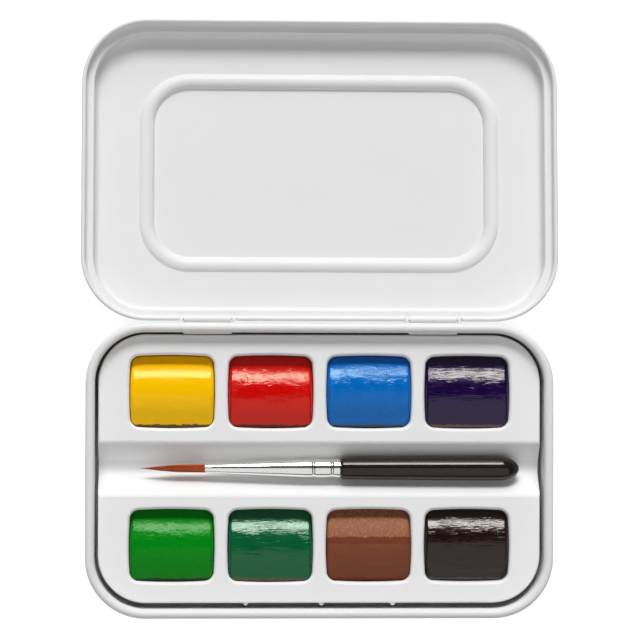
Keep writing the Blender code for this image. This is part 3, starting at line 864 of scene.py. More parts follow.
PAINTS = (
    Paint(
        "yellow",
        colour=(1.0, 0.57, 0.0), shade=(0.99, 0.53, 0.0), rim=(0.16, 0.09, 0.03),
        arc=12.0 * MM, crest=-1.3 * MM,
        gloss=0.1, shine=0.3, tint=(1.0, 0.88, 0.5),
    ),
    Paint(
        "red",
        colour=(0.64, 0.0, 0.0), shade=(0.60, 0.004, 0.002), rim=(0.10, 0.0, 0.0),
        arc=13.0 * MM, crest=-2.3 * MM, skin=Skin.BUMPY,
        gloss=0.1, tint=(1.0, 0.8, 0.62),
    ),
    Paint(
        "blue",
        colour=(0.0, 0.15, 0.56), shade=(0.0, 0.135, 0.50), rim=(0.07, 0.07, 0.08),
        arc=11.5 * MM, crest=-0.6 * MM, skin=Skin.BROKEN,
        gloss=0.06, shine=0.45, tint=(0.6, 0.9, 1.0),
    ),
    Paint(
        "violet",
        colour=(0.005, 0.0, 0.034), shade=(0.014, 0.0, 0.056), rim=(0.13, 0.08, 0.07),
        arc=14.0 * MM, crest=-2.0 * MM, skin=Skin.STREAKED,
        gloss=0.1,
    ),
    Paint(
        "light_green",
        colour=(0.0, 0.245, 0.004), shade=(0.0, 0.22, 0.01), rim=(0.02, 0.06, 0.02),
        arc=12.0 * MM, crest=-1.5 * MM, skin=Skin.BUMPY,
        shine=0.2, tint=(0.7, 1.0, 0.65),
    ),
    Paint(
        "dark_green",
        colour=(0.0, 0.11, 0.033), shade=(0.0, 0.095, 0.028), rim=(0.13, 0.07, 0.055),
        arc=14.5 * MM, crest=-2.5 * MM, skin=Skin.STREAKED,
        gloss=0.1, tint=(0.8, 1.0, 0.85),
    ),
    Paint(
        "brown",
        colour=(0.20, 0.054, 0.022), shade=(0.29, 0.105, 0.05), rim=(0.17, 0.038, 0.013),
        arc=12.0 * MM, crest=-1.0 * MM,
        # its lighter shade colour on the crust and its bright speck colour are partly painted highlight and
        # painted glints
        gloss=0.5, shine=0.2, glint_speck=(0.72, 0.42, 0.2),
    ),
    Paint(
        "black_brown",
        colour=(0.009, 0.002, 0.002), shade=(0.020, 0.009, 0.009), rim=(0.10, 0.085, 0.085),
        arc=11.0 * MM, crest=-0.2 * MM, skin=Skin.STREAKED,
        gloss=0.1,
    ),
)


def hand_over(piece: Piece, name: str, node: str, body: str, material: Material) -> None:
    """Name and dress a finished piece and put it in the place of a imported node.

    Args:
        piece: The finished mesh, at the origin.
        name: Its name.
        node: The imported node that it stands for.
        body: The body that it moves with.
        material: Its finish.
    """
    piece.name = name
    piece.data.name = name
    piece.data.materials.clear()
    piece.data.materials.append(material)
    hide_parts(node)
    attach(piece, body)
    low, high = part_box(node)
    size = [round(length / MM, 1) for length in high - low]
    LOG.info("%s: %d faces, for %s of %s mm", name, len(piece.data.polygons), node, size)


# ---- the tins ----


@dataclass
class Hinge:
    """The sizes that the two tins share at their hinge."""

    half_width: float = 54.0 * MM
    half_depth: float = 34.0 * MM
    corner: float = 14.0 * MM
    sheet: float = 0.6 * MM
    axis_y: float = 34.85 * MM
    axis_z: float = 11.4 * MM
    centres: Point = (-26.0 * MM, 26.0 * MM)
    tab: float = 11.0 * MM
    knuckle: float = 0.7 * MM
    bore: float = 0.4 * MM
    pin: float = 0.38 * MM
    lug: float = 0.8 * MM
    gap: float = 0.2 * MM
    running_gap: float = 0.25 * MM
    corner_facets: int = 24

    def outline(self, clearance: float = 0.0, middle: Place = (0, 0, 0)) -> Piece:
        """Draw the outline that both tins follow.

        Args:
            clearance: How far outside it the ring runs.
            middle: The place of the ring's middle.

        Returns:
            The ring of edges, level.
        """
        width, depth = 2 * (self.half_width + clearance), 2 * (self.half_depth + clearance)
        return rounded_ring(width, depth, self.corner + clearance, self.corner_facets, middle)


@dataclass
class BaseTin:
    """The shallow tin with its rolled rim."""

    hinge: Hinge
    height: float = 13.0 * MM
    edge_round: float = 1.8 * MM
    roll: float = 1.1 * MM
    roll_facets: int = 36
    bite: float = 0.15 * MM
    floor_margin: float = 1.0 * MM
    dent_length: float = 10.0 * MM
    dent_height: float = 1.6 * MM
    dent_thickness: float = 0.35 * MM
    dent_round: float = 0.3 * MM
    dent_facets: int = 5
    hole_length: float = 16.0 * MM
    hole_sides: int = 32

    def shell(self) -> Piece:
        """Sweep the wall from the underside over the roll and down to the floor, and close it.

        Returns:
            The tin's mesh.
        """
        sheet, edge, roll = self.hinge.sheet, self.edge_round, self.roll
        rim = self.height - roll
        inner = self.bite - 2 * roll
        outer = inner + sheet
        leave = math.acos((outer + roll) / roll)
        arrive = math.acos((inner + roll) / roll)
        fillet = edge - sheet
        ring = self.hinge.outline()
        section = Section(outer - edge, 0)
        section.arc(outer - edge, edge, QUARTER, LARGE_ROUND)
        section.line(outer, rim - roll * math.sin(leave))
        section.arc(-roll, rim, math.degrees(2 * math.pi - arrive + leave), self.roll_facets)
        section.line(inner, sheet + fillet)
        section.arc(inner - fillet, sheet + fillet, -QUARTER, SMALL_ROUND)
        tin = section.run_round(ring)
        with editing(tin):
            close_border(tin, lambda place: place.z < sheet / 2, self.floor_margin)
            close_border(tin, lambda place: place.z < 2 * sheet, self.floor_margin)
        tidy_mesh(tin)
        return tin

    def dents(self) -> list[Piece]:
        """Make the shallow swells inside the wall behind each hinge.

        Returns:
            The swells.
        """
        wall = self.hinge.half_depth - 2 * self.roll + self.bite
        rim = self.height - self.roll
        swells = []
        for centre in self.hinge.centres:
            half = self.dent_length / 2 + self.hinge.sheet
            low = (centre - half, wall - self.bite - self.dent_thickness, rim - self.dent_height)
            swell = box(low, (centre + half, wall + self.hinge.sheet / 2, rim + self.dent_round))
            with editing(swell):
                select_edges(swell, lambda a, b: a.y < wall and b.y < wall)
                bpy.ops.mesh.bevel(offset=self.dent_round, segments=self.dent_facets, affect="EDGES")
            swells.append(swell)
        return swells

    def lugs(self) -> list[Piece]:
        """Make the four lugs that hold the pins, round at the back.

        Returns:
            The lugs.
        """
        hinge = self.hinge
        back = hinge.half_depth - self.roll / 2
        lugs = []
        for centre in hinge.centres:
            for side in (-1, 1):
                near = centre + side * (hinge.tab / 2 + hinge.gap)
                far = near + side * hinge.lug
                low = (min(near, far), back, hinge.axis_z - hinge.knuckle)
                lug = box(low, (max(near, far), hinge.axis_y + hinge.knuckle, hinge.axis_z + hinge.knuckle))
                with editing(lug):
                    select_edges(lug, lambda a, b: min(a.y, b.y) > hinge.axis_y and abs(a.z - b.z) < MERGE)
                    bpy.ops.mesh.bevel(offset=hinge.knuckle - MERGE, segments=LARGE_ROUND, affect="EDGES")
                lugs.append(lug)
        return lugs

    def build(self, enamel: Material) -> None:
        """Build the base and dress it.

        Args:
            enamel: The tin's finish.
        """
        hinge, tin = self.hinge, self.shell()
        for addition in (*self.dents(), *self.lugs()):
            combine(tin, addition, Cut.JOIN)
        for centre in hinge.centres:
            middle = (centre, hinge.axis_y, hinge.axis_z)
            combine(tin, bar(hinge.pin, self.hole_length, self.hole_sides, middle), Cut.TAKE)
        smooth(tin)
        hand_over(tin, "base_tin_shell", "base_tin", "base", enamel)


@dataclass
class LidTin:
    """The pressed lid, worked on in its own frame: the hinge line at the origin, the lid lying level."""

    hinge: Hinge
    lean: float = 4.5139
    centre_y: float = 34.85 * MM
    clearance: float = 0.25 * MM
    rim: float = 0.8 * MM
    face: float = -6.2 * MM
    step: float = -1.8 * MM
    hem: float = 0.5 * MM
    hem_facets: int = 24
    step_width: float = 1.85 * MM
    edge_round: float = 1.6 * MM
    floor_round: float = 1.0 * MM
    floor_facets: int = 10
    step_fillet: float = 0.5 * MM
    step_round: float = 0.4 * MM
    bead_width: float = 80.8 * MM
    bead_depth: float = 43.4 * MM
    bead_corner: float = 10.2 * MM
    bead: float = 2.0 * MM
    bead_sink: float = 1.2 * MM
    bead_facets: tuple[int, int] = (20, 16)
    panel_drop: float = 0.6 * MM
    panel_margin: float = 0.5 * MM
    level_play: float = 0.05 * MM
    notch_reach: float = 1.0 * MM
    relief: float = 0.4 * MM
    relief_inset: float = 0.6 * MM
    relief_depth: float = 1.2 * MM
    relief_sides: int = 32
    tab_play: float = 0.1 * MM
    knuckle_sides: int = 48
    bore_sides: int = 40

    def wall(self) -> Piece:
        """Sweep the wall: outer face, step, hem, step again and the inside down to the floor.

        Returns:
            The swept wall, open at both ends.
        """
        sheet, turn, hem = self.hinge.sheet, self.edge_round, self.hem
        outer = sheet - self.step_width
        floor = self.face + sheet
        leave = math.acos((sheet - hem) / hem)
        across = self.step_round - self.step_width
        ring = self.hinge.outline(self.clearance, (0, self.centre_y, 0))
        section = Section(outer - turn, self.face)
        section.arc(outer - turn, self.face + turn, QUARTER, LARGE_ROUND)
        section.line(outer, self.step - sheet).line(0, self.step - sheet)
        section.arc(0, self.step, QUARTER, SMALL_ROUND)
        section.line(sheet, self.rim - hem - hem * math.sin(leave))
        section.arc(hem, self.rim - hem, math.degrees(math.pi + leave), self.hem_facets)
        section.line(0, self.step + self.step_fillet)
        section.arc(-self.step_fillet, self.step + self.step_fillet, -QUARTER, SMALL_ROUND)
        section.line(across, self.step)
        section.arc(across, self.step - self.step_round, QUARTER, SMALL_ROUND)
        section.line(-self.step_width, floor + self.floor_round)
        inside = -self.step_width - self.floor_round
        section.arc(inside, floor + self.floor_round, -QUARTER, self.floor_facets)
        return section.run_round(ring)

    def ridge(self, radius: float, low: float, high: float, steps: int) -> Piece:
        """Sweep one side of the bead.

        Args:
            radius: The side's radius.
            low: The height, above the bead's axis, of its outer end.
            high: The height of its inner end.
            steps: The number of facets.

        Returns:
            The swept strip.
        """
        axis = self.face + self.hinge.sheet - self.bead_sink
        start = math.asin(low / radius)
        turn = math.pi - math.asin(high / radius) - start
        middle, facets = (0, self.centre_y, 0), self.hinge.corner_facets
        ring = rounded_ring(self.bead_width, self.bead_depth, self.bead_corner, facets, middle)
        section = Section(radius * math.cos(start), axis + low)
        return section.arc(0, axis, math.degrees(turn), steps).run_round(ring)

    def shell(self) -> Piece:
        """Join the wall and the two sides of the bead, and fill the floor and the panel.

        Returns:
            The lid's mesh.
        """
        sheet = self.hinge.sheet
        floor = self.face + sheet
        axis = floor - self.bead_sink
        rounds = self.bead_facets
        over = self.ridge(self.bead, self.bead_sink, self.bead_sink - self.panel_drop, rounds[0])
        under = self.ridge(self.bead - sheet, self.face - axis, 0.0, rounds[1])
        lid = joined(self.wall(), over, under)

        def level(height: float, inside: bool) -> Callable[[Vector], bool]:
            """Test for a border's height and for the side of the bead that it lies on.

            Args:
                height: The border's height.
                inside: Whether it lies inside the bead.

            Returns:
                The test of a point.
            """
            return lambda place: (
                abs(place.z - height) < self.level_play and self.inside_bead(place) == inside
            )

        with editing(lid):
            for height in (self.face, floor):
                select_border(lid, level(height, False))
                bpy.ops.mesh.fill()
            close_border(lid, level(axis, True), self.panel_margin)
            close_border(lid, level(floor - self.panel_drop, True), self.panel_margin)
        tidy_mesh(lid)
        return lid

    def inside_bead(self, place: Vector) -> bool:
        """Say where a point lies.

        Args:
            place: The point.

        Returns:
            Whether it lies inside the middle of the bead.
        """
        reach = Vector((abs(place.x), abs(place.y - self.centre_y)))
        corner = Vector((self.bead_width / 2 - self.bead_corner, self.bead_depth / 2 - self.bead_corner))
        past = Vector((max(0.0, reach.x - corner.x), max(0.0, reach.y - corner.y)))
        return past.length < self.bead_corner

    def cut_hinges(self, lid: Piece) -> None:
        """Cut the notches, slots and relief holes, and curl a tab round each pin.

        Args:
            lid: The lid's mesh.
        """
        hinge = self.hinge
        far = self.clearance + self.notch_reach
        relief_y = self.centre_y - hinge.half_depth - self.clearance + self.relief_inset
        for centre in hinge.centres:
            half = hinge.tab / 2 + hinge.gap
            combine(lid, box((centre - half, -PAST, 0), (centre + half, far, PAST)), Cut.TAKE)
            for side in (-1, 1):
                near = centre + side * hinge.tab / 2
                end = near + side * (hinge.lug + 2 * hinge.gap)
                low = (min(near, end), -PAST, -hinge.knuckle - hinge.running_gap)
                combine(lid, box(low, (max(near, end), far, PAST)), Cut.TAKE)
                middle = ((near + end) / 2, relief_y, self.step - hinge.sheet / 2)
                hole = bar(self.relief, self.relief_depth, self.relief_sides, middle, upright=True)
                combine(lid, hole, Cut.TAKE)
            middle = (centre, 0, 0)
            combine(lid, bar(hinge.knuckle, hinge.tab - self.tab_play, self.knuckle_sides, middle), Cut.JOIN)
            combine(lid, bar(hinge.bore, hinge.tab + PAST, self.bore_sides, middle), Cut.TAKE)

    def build(self, enamel: Material) -> None:
        """Build the lid, lay it back on the table and dress it.

        Args:
            enamel: The tin's finish.
        """
        lid = self.shell()
        self.cut_hinges(lid)
        lid.rotation_euler = (-math.radians(self.lean), 0, 0)
        lid.location = (0, self.hinge.axis_y, self.hinge.axis_z)
        smooth(settled(lid))
        hand_over(lid, "lid_tin_shell", "lid_tin", "lid", enamel)


# ---- the tray and what it holds ----


@dataclass
class Well:
    """A well's outline: its sides bow out slightly."""

    width: float = 19.0 * MM
    depth: float = 16.2 * MM
    corner: float = 1.9 * MM
    bow: float = 0.35 * MM
    floor: float = 1.7 * MM
    lip: float = 0.9 * MM
    foot: float = 0.6 * MM
    foot_facets: int = 6
    corner_facets: int = 10
    side_cuts: int = 11
    columns: tuple[float, ...] = (-34.125 * MM, -11.375 * MM, 11.375 * MM, 34.125 * MM)
    rows: Point = (18.1 * MM, -17.4 * MM)

    def places(self) -> list[Place]:
        """List the middle of each well, back row first, left to right."""
        return [(x, y, 0.0) for y in self.rows for x in self.columns]

    def bowed(self, place: Vector) -> Vector:
        """Bow the outline's sides out.

        Args:
            place: A point of the plain outline.

        Returns:
            Its place on the bowed one.
        """
        half_width, half_depth = self.width / 2, self.depth / 2
        across = 1 + self.bow / half_width * (1 - min(1.0, (place.y / half_depth) ** 2))
        along = 1 + self.bow / half_depth * (1 - min(1.0, (place.x / half_width) ** 2))
        return Vector((place.x * across, place.y * along, place.z))

    def ring(self) -> Piece:
        """Draw the well's outline as a ring of edges about the origin.

        Returns:
            The ring.
        """
        ring = rounded_ring(self.width, self.depth, self.corner, self.corner_facets)
        with editing(ring):
            select_edges(ring, lambda a, b: (a - b).length > self.corner)
            bpy.ops.mesh.subdivide(number_cuts=self.side_cuts)
        move_points(ring, self.bowed)
        return ring


@dataclass
class Tray:
    """The moulded tray with its wells, its trough and three nubs."""

    well: Well
    width: float = 102.2 * MM
    depth: float = 61.9 * MM
    middle_y: float = 0.35 * MM
    corner: float = 11.1 * MM
    corner_facets: int = 20
    bottom: float = 0.9 * MM
    top: float = 10.0 * MM
    wall: float = 0.8 * MM
    edge_round: float = 0.5 * MM
    trough_width: float = 13.6 * MM
    trough_slope: float = 44.0
    trough_round: float = 3.05 * MM
    trough_lip: float = 1.8 * MM
    trough_facets: int = 24
    lip_facets: int = 10
    lip_clear: float = 0.02 * MM
    flare: float = 88.0
    floor_start: float = 1.0 * MM
    carrier_over: float = 1.0 * MM
    margin: float = 0.2 * MM
    nubs: tuple[float, ...] = (-17.0 * MM, 0.5 * MM, 17.0 * MM)
    nub: float = 0.6 * MM
    nub_sides: int = 40
    nub_height: float = 6.0 * MM
    nub_down: float = 3.5 * MM
    nub_round: float = 0.2 * MM
    nub_facets: int = 4

    def block(self, inset: float, low: float, high: float) -> Piece:
        """Make an upright block with the tray's outline.

        Args:
            inset: How far inside the tray's outline it stays.
            low: Its lower level.
            high: Its upper level.

        Returns:
            The block.
        """
        half = (self.width / 2 - inset, self.depth / 2 - inset)
        solid = box((-half[0], self.middle_y - half[1], low), (half[0], self.middle_y + half[1], high))
        with editing(solid):
            select_edges(solid, lambda a, b: abs(a.z - b.z) > (high - low) / 2)
            bpy.ops.mesh.bevel(offset=self.corner - inset, segments=self.corner_facets, affect="EDGES")
        return solid

    def body(self) -> Piece:
        """Make the tray's block with its top edge rounded and its nubs on.

        Returns:
            The block.
        """
        body = self.block(0, self.bottom, self.top)
        with editing(body):
            select_edges(body, lambda a, b: min(a.z, b.z) > self.top - MERGE)
            bpy.ops.mesh.bevel(offset=self.edge_round, segments=SMALL_ROUND, affect="EDGES")
        level = self.top - self.nub_down
        crest = level + self.nub_height / 2
        for x in self.nubs:
            middle = (x, self.middle_y - self.depth / 2, level)
            nub = bar(self.nub, self.nub_height, self.nub_sides, middle, upright=True)
            with editing(nub):
                select_edges(nub, lambda a, b: min(a.z, b.z) > crest - MERGE)
                bpy.ops.mesh.bevel(offset=self.nub_round, segments=self.nub_facets, affect="EDGES")
            combine(body, nub, Cut.JOIN)
        return body

    def capped(self, tool: Piece, level: float) -> Piece:
        """Close a tool's two open ends.

        Args:
            tool: The swept tool.
            level: A height between the two ends.

        Returns:
            The tool, closed.
        """
        with editing(tool):
            close_border(tool, lambda place: place.z < level, self.margin)
            close_border(tool, lambda place: place.z > level, self.margin)
        tidy_mesh(tool)
        return tool

    def well_tool(self) -> Piece:
        """Make the shape that cuts one well, flared at its lip.

        Returns:
            The tool, about the origin.
        """
        well = self.well
        level = self.top - well.lip + self.lip_clear
        ring = well.ring()
        section = Section(-self.floor_start, well.floor).line(-well.foot, well.floor)
        section.arc(-well.foot, well.floor + well.foot, QUARTER, well.foot_facets)
        section.line(0, level).arc(well.lip, level, -self.flare, LARGE_ROUND)
        section.line(well.lip, self.top + PAST)
        return self.capped(section.run_round(ring), self.top)

    def shell_tool(self) -> Piece:
        """Make the outer shape of one well, which the tray's underside leaves standing.

        Returns:
            The tool, about the origin.
        """
        ring = self.well.ring()
        section = Section(self.wall, -PAST).line(self.wall, self.top + PAST)
        return self.capped(section.run_round(ring), 0.0)

    def repeated(self, tool: Piece) -> Piece:
        """Repeat a tool at each well.

        Args:
            tool: The tool for one well, about the origin.

        Returns:
            The copies, joined.
        """
        copies = [copied(tool, place) for place in self.well.places()]
        bpy.data.objects.remove(tool, do_unlink=True)
        return joined(*copies)

    def along(self, trace: Piece) -> Piece:
        """Stand a closed section up across the tray and run it the tray's whole length.

        Args:
            trace: A closed ring of edges, outward and up in its own plane.

        Returns:
            The solid.
        """
        with editing(trace):
            bpy.ops.mesh.select_all(action="SELECT")
            bpy.ops.mesh.remove_doubles(threshold=MERGE)
            bpy.ops.mesh.select_all(action="SELECT")
            bpy.ops.mesh.edge_face_add()
        end = self.width / 2 + PAST
        move_points(trace, lambda place: Vector((-end, self.middle_y + place.x, place.y)))
        with editing(trace):
            bpy.ops.mesh.select_all(action="SELECT")
            bpy.ops.mesh.extrude_region_move(TRANSFORM_OT_translate={"value": (2 * end, 0, 0)})
        tidy_mesh(trace)
        return trace

    def trough_axis(self) -> float:
        """Give the height of the line that the trough's round bottom is drawn about.

        Returns:
            The height.
        """
        tilt = math.radians(self.trough_slope)
        rounds = self.trough_round + self.trough_lip
        run = self.trough_width / 2 - rounds * math.sin(tilt)
        fall = run * math.tan(tilt) + rounds * (1 - math.cos(tilt))
        return self.top - fall + self.trough_round

    def trough_foot(self, radius: float) -> Point:
        """Give the place, outward and up, where a round bottom of this radius meets its slope."""
        tilt = math.radians(self.trough_slope)
        return radius * math.sin(tilt), self.trough_axis() - radius * math.cos(tilt)

    def trough_tool(self) -> Piece:
        """Make the trough: rolled lips, straight slopes and a round bottom.

        Returns:
            The tool.
        """
        lip, slope, edge = self.trough_lip, self.trough_slope, self.trough_width / 2
        tilt = math.radians(slope)
        up = self.top + PAST
        level = self.top - lip + self.lip_clear
        across, low = self.trough_foot(self.trough_round)
        section = Section(-edge, up).line(-edge, level + lip)
        section.arc(-edge, level, -slope, self.lip_facets)
        section.line(-across, low).arc(0, self.trough_axis(), 2 * slope, self.trough_facets)
        section.line(edge - lip * math.sin(tilt), level + lip * math.cos(tilt))
        section.arc(edge, level, -slope, self.lip_facets)
        section.line(edge, up).line(-edge, up)
        return self.along(section.done())

    def trough_shell(self) -> Piece:
        """Make the shape that carries the trough, which the tray's underside leaves standing.

        Returns:
            The shape.
        """
        up = self.top + self.carrier_over
        across, low = self.trough_foot(self.trough_round + self.wall)
        edge = across + (up - low) / math.tan(math.radians(self.trough_slope))
        section = Section(-edge, up).line(-across, low)
        section.arc(0, self.trough_axis(), 2 * self.trough_slope, self.trough_facets)
        section.line(edge, up).line(-edge, up)
        return self.along(section.done())

    def build(self, plastic: Material) -> None:
        """Build the tray and dress it.

        Args:
            plastic: The tray's finish.
        """
        tray = self.body()
        hollow = self.block(self.wall, self.bottom - PAST, self.top - self.wall)
        combine(hollow, self.repeated(self.shell_tool()), Cut.TAKE)
        combine(hollow, self.trough_shell(), Cut.TAKE)
        combine(tray, hollow, Cut.TAKE)
        combine(tray, self.repeated(self.well_tool()), Cut.TAKE)
        combine(tray, self.trough_tool(), Cut.TAKE)
        smooth(tray, angle=35.0)
        hand_over(tray, "tray_moulding", "tray", "tray", plastic)


@dataclass
class Cakes:
    """The eight cakes of paint, each a loose fit in its well."""

    well: Well
    gap: float = 0.2 * MM
    bottom: float = 2.0 * MM
    crown: float = 10.4 * MM
    cells: tuple[int, int] = (84, 72)
    ripple: float = 0.03 * MM
    side_round: float = 0.9 * MM
    front_round: float = 0.55 * MM
    top_band: float = 1.0 * MM
    square_core: float = 0.5
    corner_pull: int = 6
    seed_shift: Place = (0.37, 0.11, 0.53)
    ripple_waves: Point = (250, 700)
    side_waves: Point = (20, 600)
    side_unevenness: float = 0.2
    steepest: float = 0.97

    def blank(self) -> Piece:
        """Make one plain cake about the origin: a fine top over plain sides.

        Returns:
            The cake.
        """
        bpy.ops.object.select_all(action="DESELECT")
        bpy.ops.mesh.primitive_grid_add(x_subdivisions=self.cells[0], y_subdivisions=self.cells[1], size=2)
        cake = bpy.context.object
        half_width, half_depth = self.well.width / 2 - self.gap, self.well.depth / 2 - self.gap
        corner = self.well.corner - self.gap

        def shaped(place: Vector) -> Vector:
            """Draw the grid's square corners in to round ones and lift the crown.

            Args:
                place: A point of the plain grid.

            Returns:
                Its place on the cake's top.
            """
            spot = Vector((place.x * half_width, place.y * half_depth, 0))
            reach = max(abs(place.x), abs(place.y))
            if reach > self.square_core:
                edge = Vector((spot.x / reach, spot.y / reach, 0))
                past_side = max(0.0, abs(edge.x) - half_width + corner)
                past_end = max(0.0, abs(edge.y) - half_depth + corner)
                past = Vector((past_side, past_end, 0))
                pull = max(0.0, past.length - corner)
                if pull > 0:
                    inward = past.normalized() * pull * reach**self.corner_pull
                    spot.x -= math.copysign(inward.x, spot.x)
                    spot.y -= math.copysign(inward.y, spot.y)
            spot = self.well.bowed(spot)
            spot.z = self.crown
            return spot

        move_points(cake, shaped)
        with editing(cake):
            select_border(cake, lambda place: True)
            bpy.ops.mesh.extrude_region_move(TRANSFORM_OT_translate={"value": (0, 0, -self.top_band)})
            bpy.ops.transform.resize(value=(1, 1, 0), center_override=(0, 0, self.bottom))
            bpy.ops.mesh.edge_face_add()
        tidy_mesh(cake)
        return cake

    def weathered(self, cake: Piece, paint: Paint, seed: int) -> None:
        """Give a cake its own crown and its own uneven skin.

        Args:
            cake: The cake, about the origin.
            paint: Its paint, which says how it is crowned.
            seed: Which skin it gets.
        """
        shift = Vector([seed * part for part in self.seed_shift])
        half_width = self.well.width / 2 - self.gap + self.well.bow
        half_depth = self.well.depth / 2 - self.gap + self.well.bow

        def rounding(past: float, radius: float) -> float:
            """Give how far a rounded edge has dropped.

            Args:
                past: The distance past the rounding's start.
                radius: Its radius.

            Returns:
                The drop.
            """
            past = min(max(past, 0.0), radius * self.steepest)
            return radius - math.sqrt(radius**2 - past**2)

        def moved(place: Vector) -> Vector:
            """Crown the top, round its edges and raise and lower it by a slow ripple.

            Args:
                place: A point of the plain cake.

            Returns:
                Its new place.
            """
            if place.z < self.crown - self.top_band:
                return place
            waves, edge_waves = self.ripple_waves, self.side_waves
            lift = noise.noise(Vector((place.x * waves[0], place.y * waves[1], 0)) + shift)
            drop = paint.arc - math.sqrt(paint.arc**2 - (place.y - paint.crest) ** 2)
            wander = noise.noise(Vector((place.y * edge_waves[1], seed, place.x * edge_waves[0])))
            side = self.side_round * (1 + self.side_unevenness * wander)
            drop += rounding(abs(place.x) - half_width + side, side)
            drop += rounding(-place.y - half_depth + self.front_round, self.front_round)
            return place + Vector((0, 0, self.ripple * lift - drop))

        move_points(cake, moved)

    def build(self) -> None:
        """Build and dress all eight."""
        blank = self.blank()
        for index, (paint, place) in enumerate(zip(PAINTS, self.well.places())):
            cake = copied(blank, (0, 0, 0))
            self.weathered(cake, paint, index)
            cake.location = place
            smooth(settled(cake), angle=50.0, weighted=False)
            node = "cake_" + paint.name
            low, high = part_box(node)
            hand_over(cake, node + "_block", node, node, paint.material(tuple(low), tuple(high)))
        bpy.data.objects.remove(blank, do_unlink=True)


@dataclass
class Brush:
    """The small brush that lies in the trough, its tuft to the left."""

    tray: Tray
    root: float = -26.5 * MM
    tuft_length: float = 15.4 * MM
    joint: float = 4.8 * MM
    end: float = 46.4 * MM
    nose: float = 1.1 * MM
    nose_wall: float = 0.16 * MM
    tail: float = 2.2 * MM
    ferrule_wall: float = 0.3 * MM
    straight: float = 8.0 * MM
    crimps: tuple[float, ...] = (6.2 * MM, 1.9 * MM)
    crimp_depth: float = 0.16 * MM
    crimp_width: float = 1.0 * MM
    neck: float = 2.5 * MM
    belly: float = 2.75 * MM
    shoulder: float = 0.4 * MM
    dome: float = 4.4 * MM
    dome_steps: int = 16
    shoulder_facets: int = 6
    spigot: float = 5.0 * MM
    swell_steps: int = 4
    nose_edge: float = 0.05 * MM
    tail_edge: float = 0.1 * MM
    crimp_steps: int = 6
    stations: tuple[Point, ...] = ((0.0, 0.93 * MM), (0.35, 0.88 * MM), (0.7, 0.62 * MM), (1.0, 0.12 * MM))
    hairs: int = 700
    hair_steps: int = 6
    hair_corners: Place = (0.0, 120.0, 240.0)
    fullness: float = 0.5
    stop_short: float = 0.45
    unevenness: float = 0.04
    rooted: float = 0.03
    sway: float = 0.03
    seed: int = 7
    steps: int = 72

    def middle(self) -> Place:
        """Give the place that sections along the brush start from."""
        return (0, self.tray.middle_y, self.tray.trough_axis())

    def handle(self, lacquer: Material) -> None:
        """Turn the handle: spigot, shoulder, swelling body and domed end.

        Args:
            lacquer: The handle's finish.
        """
        spigot, inner = self.tail - 2 * self.ferrule_wall, self.joint - self.spigot
        start = self.joint + self.ferrule_wall
        section = Section(inner, 0).line(inner, spigot).line(start, spigot)
        section.line(start, self.neck - self.shoulder)
        section.arc(start + self.shoulder, self.neck - self.shoulder, -QUARTER, self.shoulder_facets)
        dome = self.end - self.dome
        for step in range(1, self.swell_steps + 1):
            share = step / self.swell_steps
            swell = math.sin(math.radians(QUARTER) * share)
            along = start + self.shoulder + (dome - start - self.shoulder) * share
            section.line(along, self.neck + (self.belly - self.neck) * swell)
        for step in range(1, self.dome_steps):
            angle = math.radians(QUARTER) * step / self.dome_steps
            section.line(dome + self.dome * math.sin(angle), self.belly * math.cos(angle))
        section.line(self.end, 0)
        piece = section.turned(self.steps, self.middle())
        smooth(piece, weighted=False)
        hand_over(piece, "handle_turning", "brush_handle", "brush", lacquer)

    def outside(self, along: float) -> float:
        """Give the ferrule's plain outer radius at a place along the brush."""
        taper_end = self.joint - self.straight
        return self.nose + (self.tail - self.nose) * min(1.0, (along - self.root) / (taper_end - self.root))

    def ferrule(self, nickel: Material) -> None:
        """Turn the ferrule: crimped outside, rolled ends, and back along the bore.

        Args:
            nickel: The ferrule's finish.
        """
        bore, taper_end = self.tail - self.ferrule_wall, self.joint - self.straight
        nose, tail = self.nose_edge, self.tail_edge
        section = Section(self.root, self.nose - self.nose_wall).line(self.root, self.nose - nose)
        section.line(self.root + nose, self.outside(self.root + nose)).line(taper_end, self.tail)
        for crimp in self.crimps:
            for step in range(-self.crimp_steps, self.crimp_steps + 1):
                sink = self.crimp_depth * (1 + math.cos(math.pi * step / self.crimp_steps)) / 2
                along = self.joint - crimp + self.crimp_width / 2 * step / self.crimp_steps
                section.line(along, self.tail - sink)
        section.line(self.joint - tail, self.tail).line(self.joint, self.tail - tail)
        section.line(self.joint, bore).line(taper_end, bore)
        section.line(self.root, self.nose - self.nose_wall)
        piece = section.turned(self.steps, self.middle())
        smooth(piece, weighted=False)
        hand_over(piece, "ferrule_tube", "brush_ferrule", "brush", nickel)

    def spread(self, share: float) -> float:
        """Give the tuft's radius.

        Args:
            share: How far along the tuft, from its root at 0 to its tip at 1.

        Returns:
            The radius there.
        """
        for (low, start), (high, stop) in zip(self.stations, self.stations[1:]):
            if share <= high:
                slide = (share - low) / (high - low)
                slide = slide * slide * (3 - 2 * slide)
                return start + (stop - start) * slide
        return self.stations[-1][1]

    def strand(self, bm: bmesh.types.BMesh, end: float, reach: float, turns: Point) -> None:
        """Lay one three-sided hair.

        Args:
            bm: The mesh that it is laid in.
            end: The share of the tuft's length that it ends at.
            reach: How far out it lies, as a share of the tuft's radius.
            turns: Its angle about the tuft's axis at the root, and how much that has turned at the tip.
        """

        def middle(share: float, turn: float) -> Vector:
            """Give the place of the hair's middle line at a share of the tuft's length."""
            out = self.spread(max(0.0, share)) * reach
            return Vector((self.root - share * self.tuft_length, out * math.cos(turn), out * math.sin(turn)))

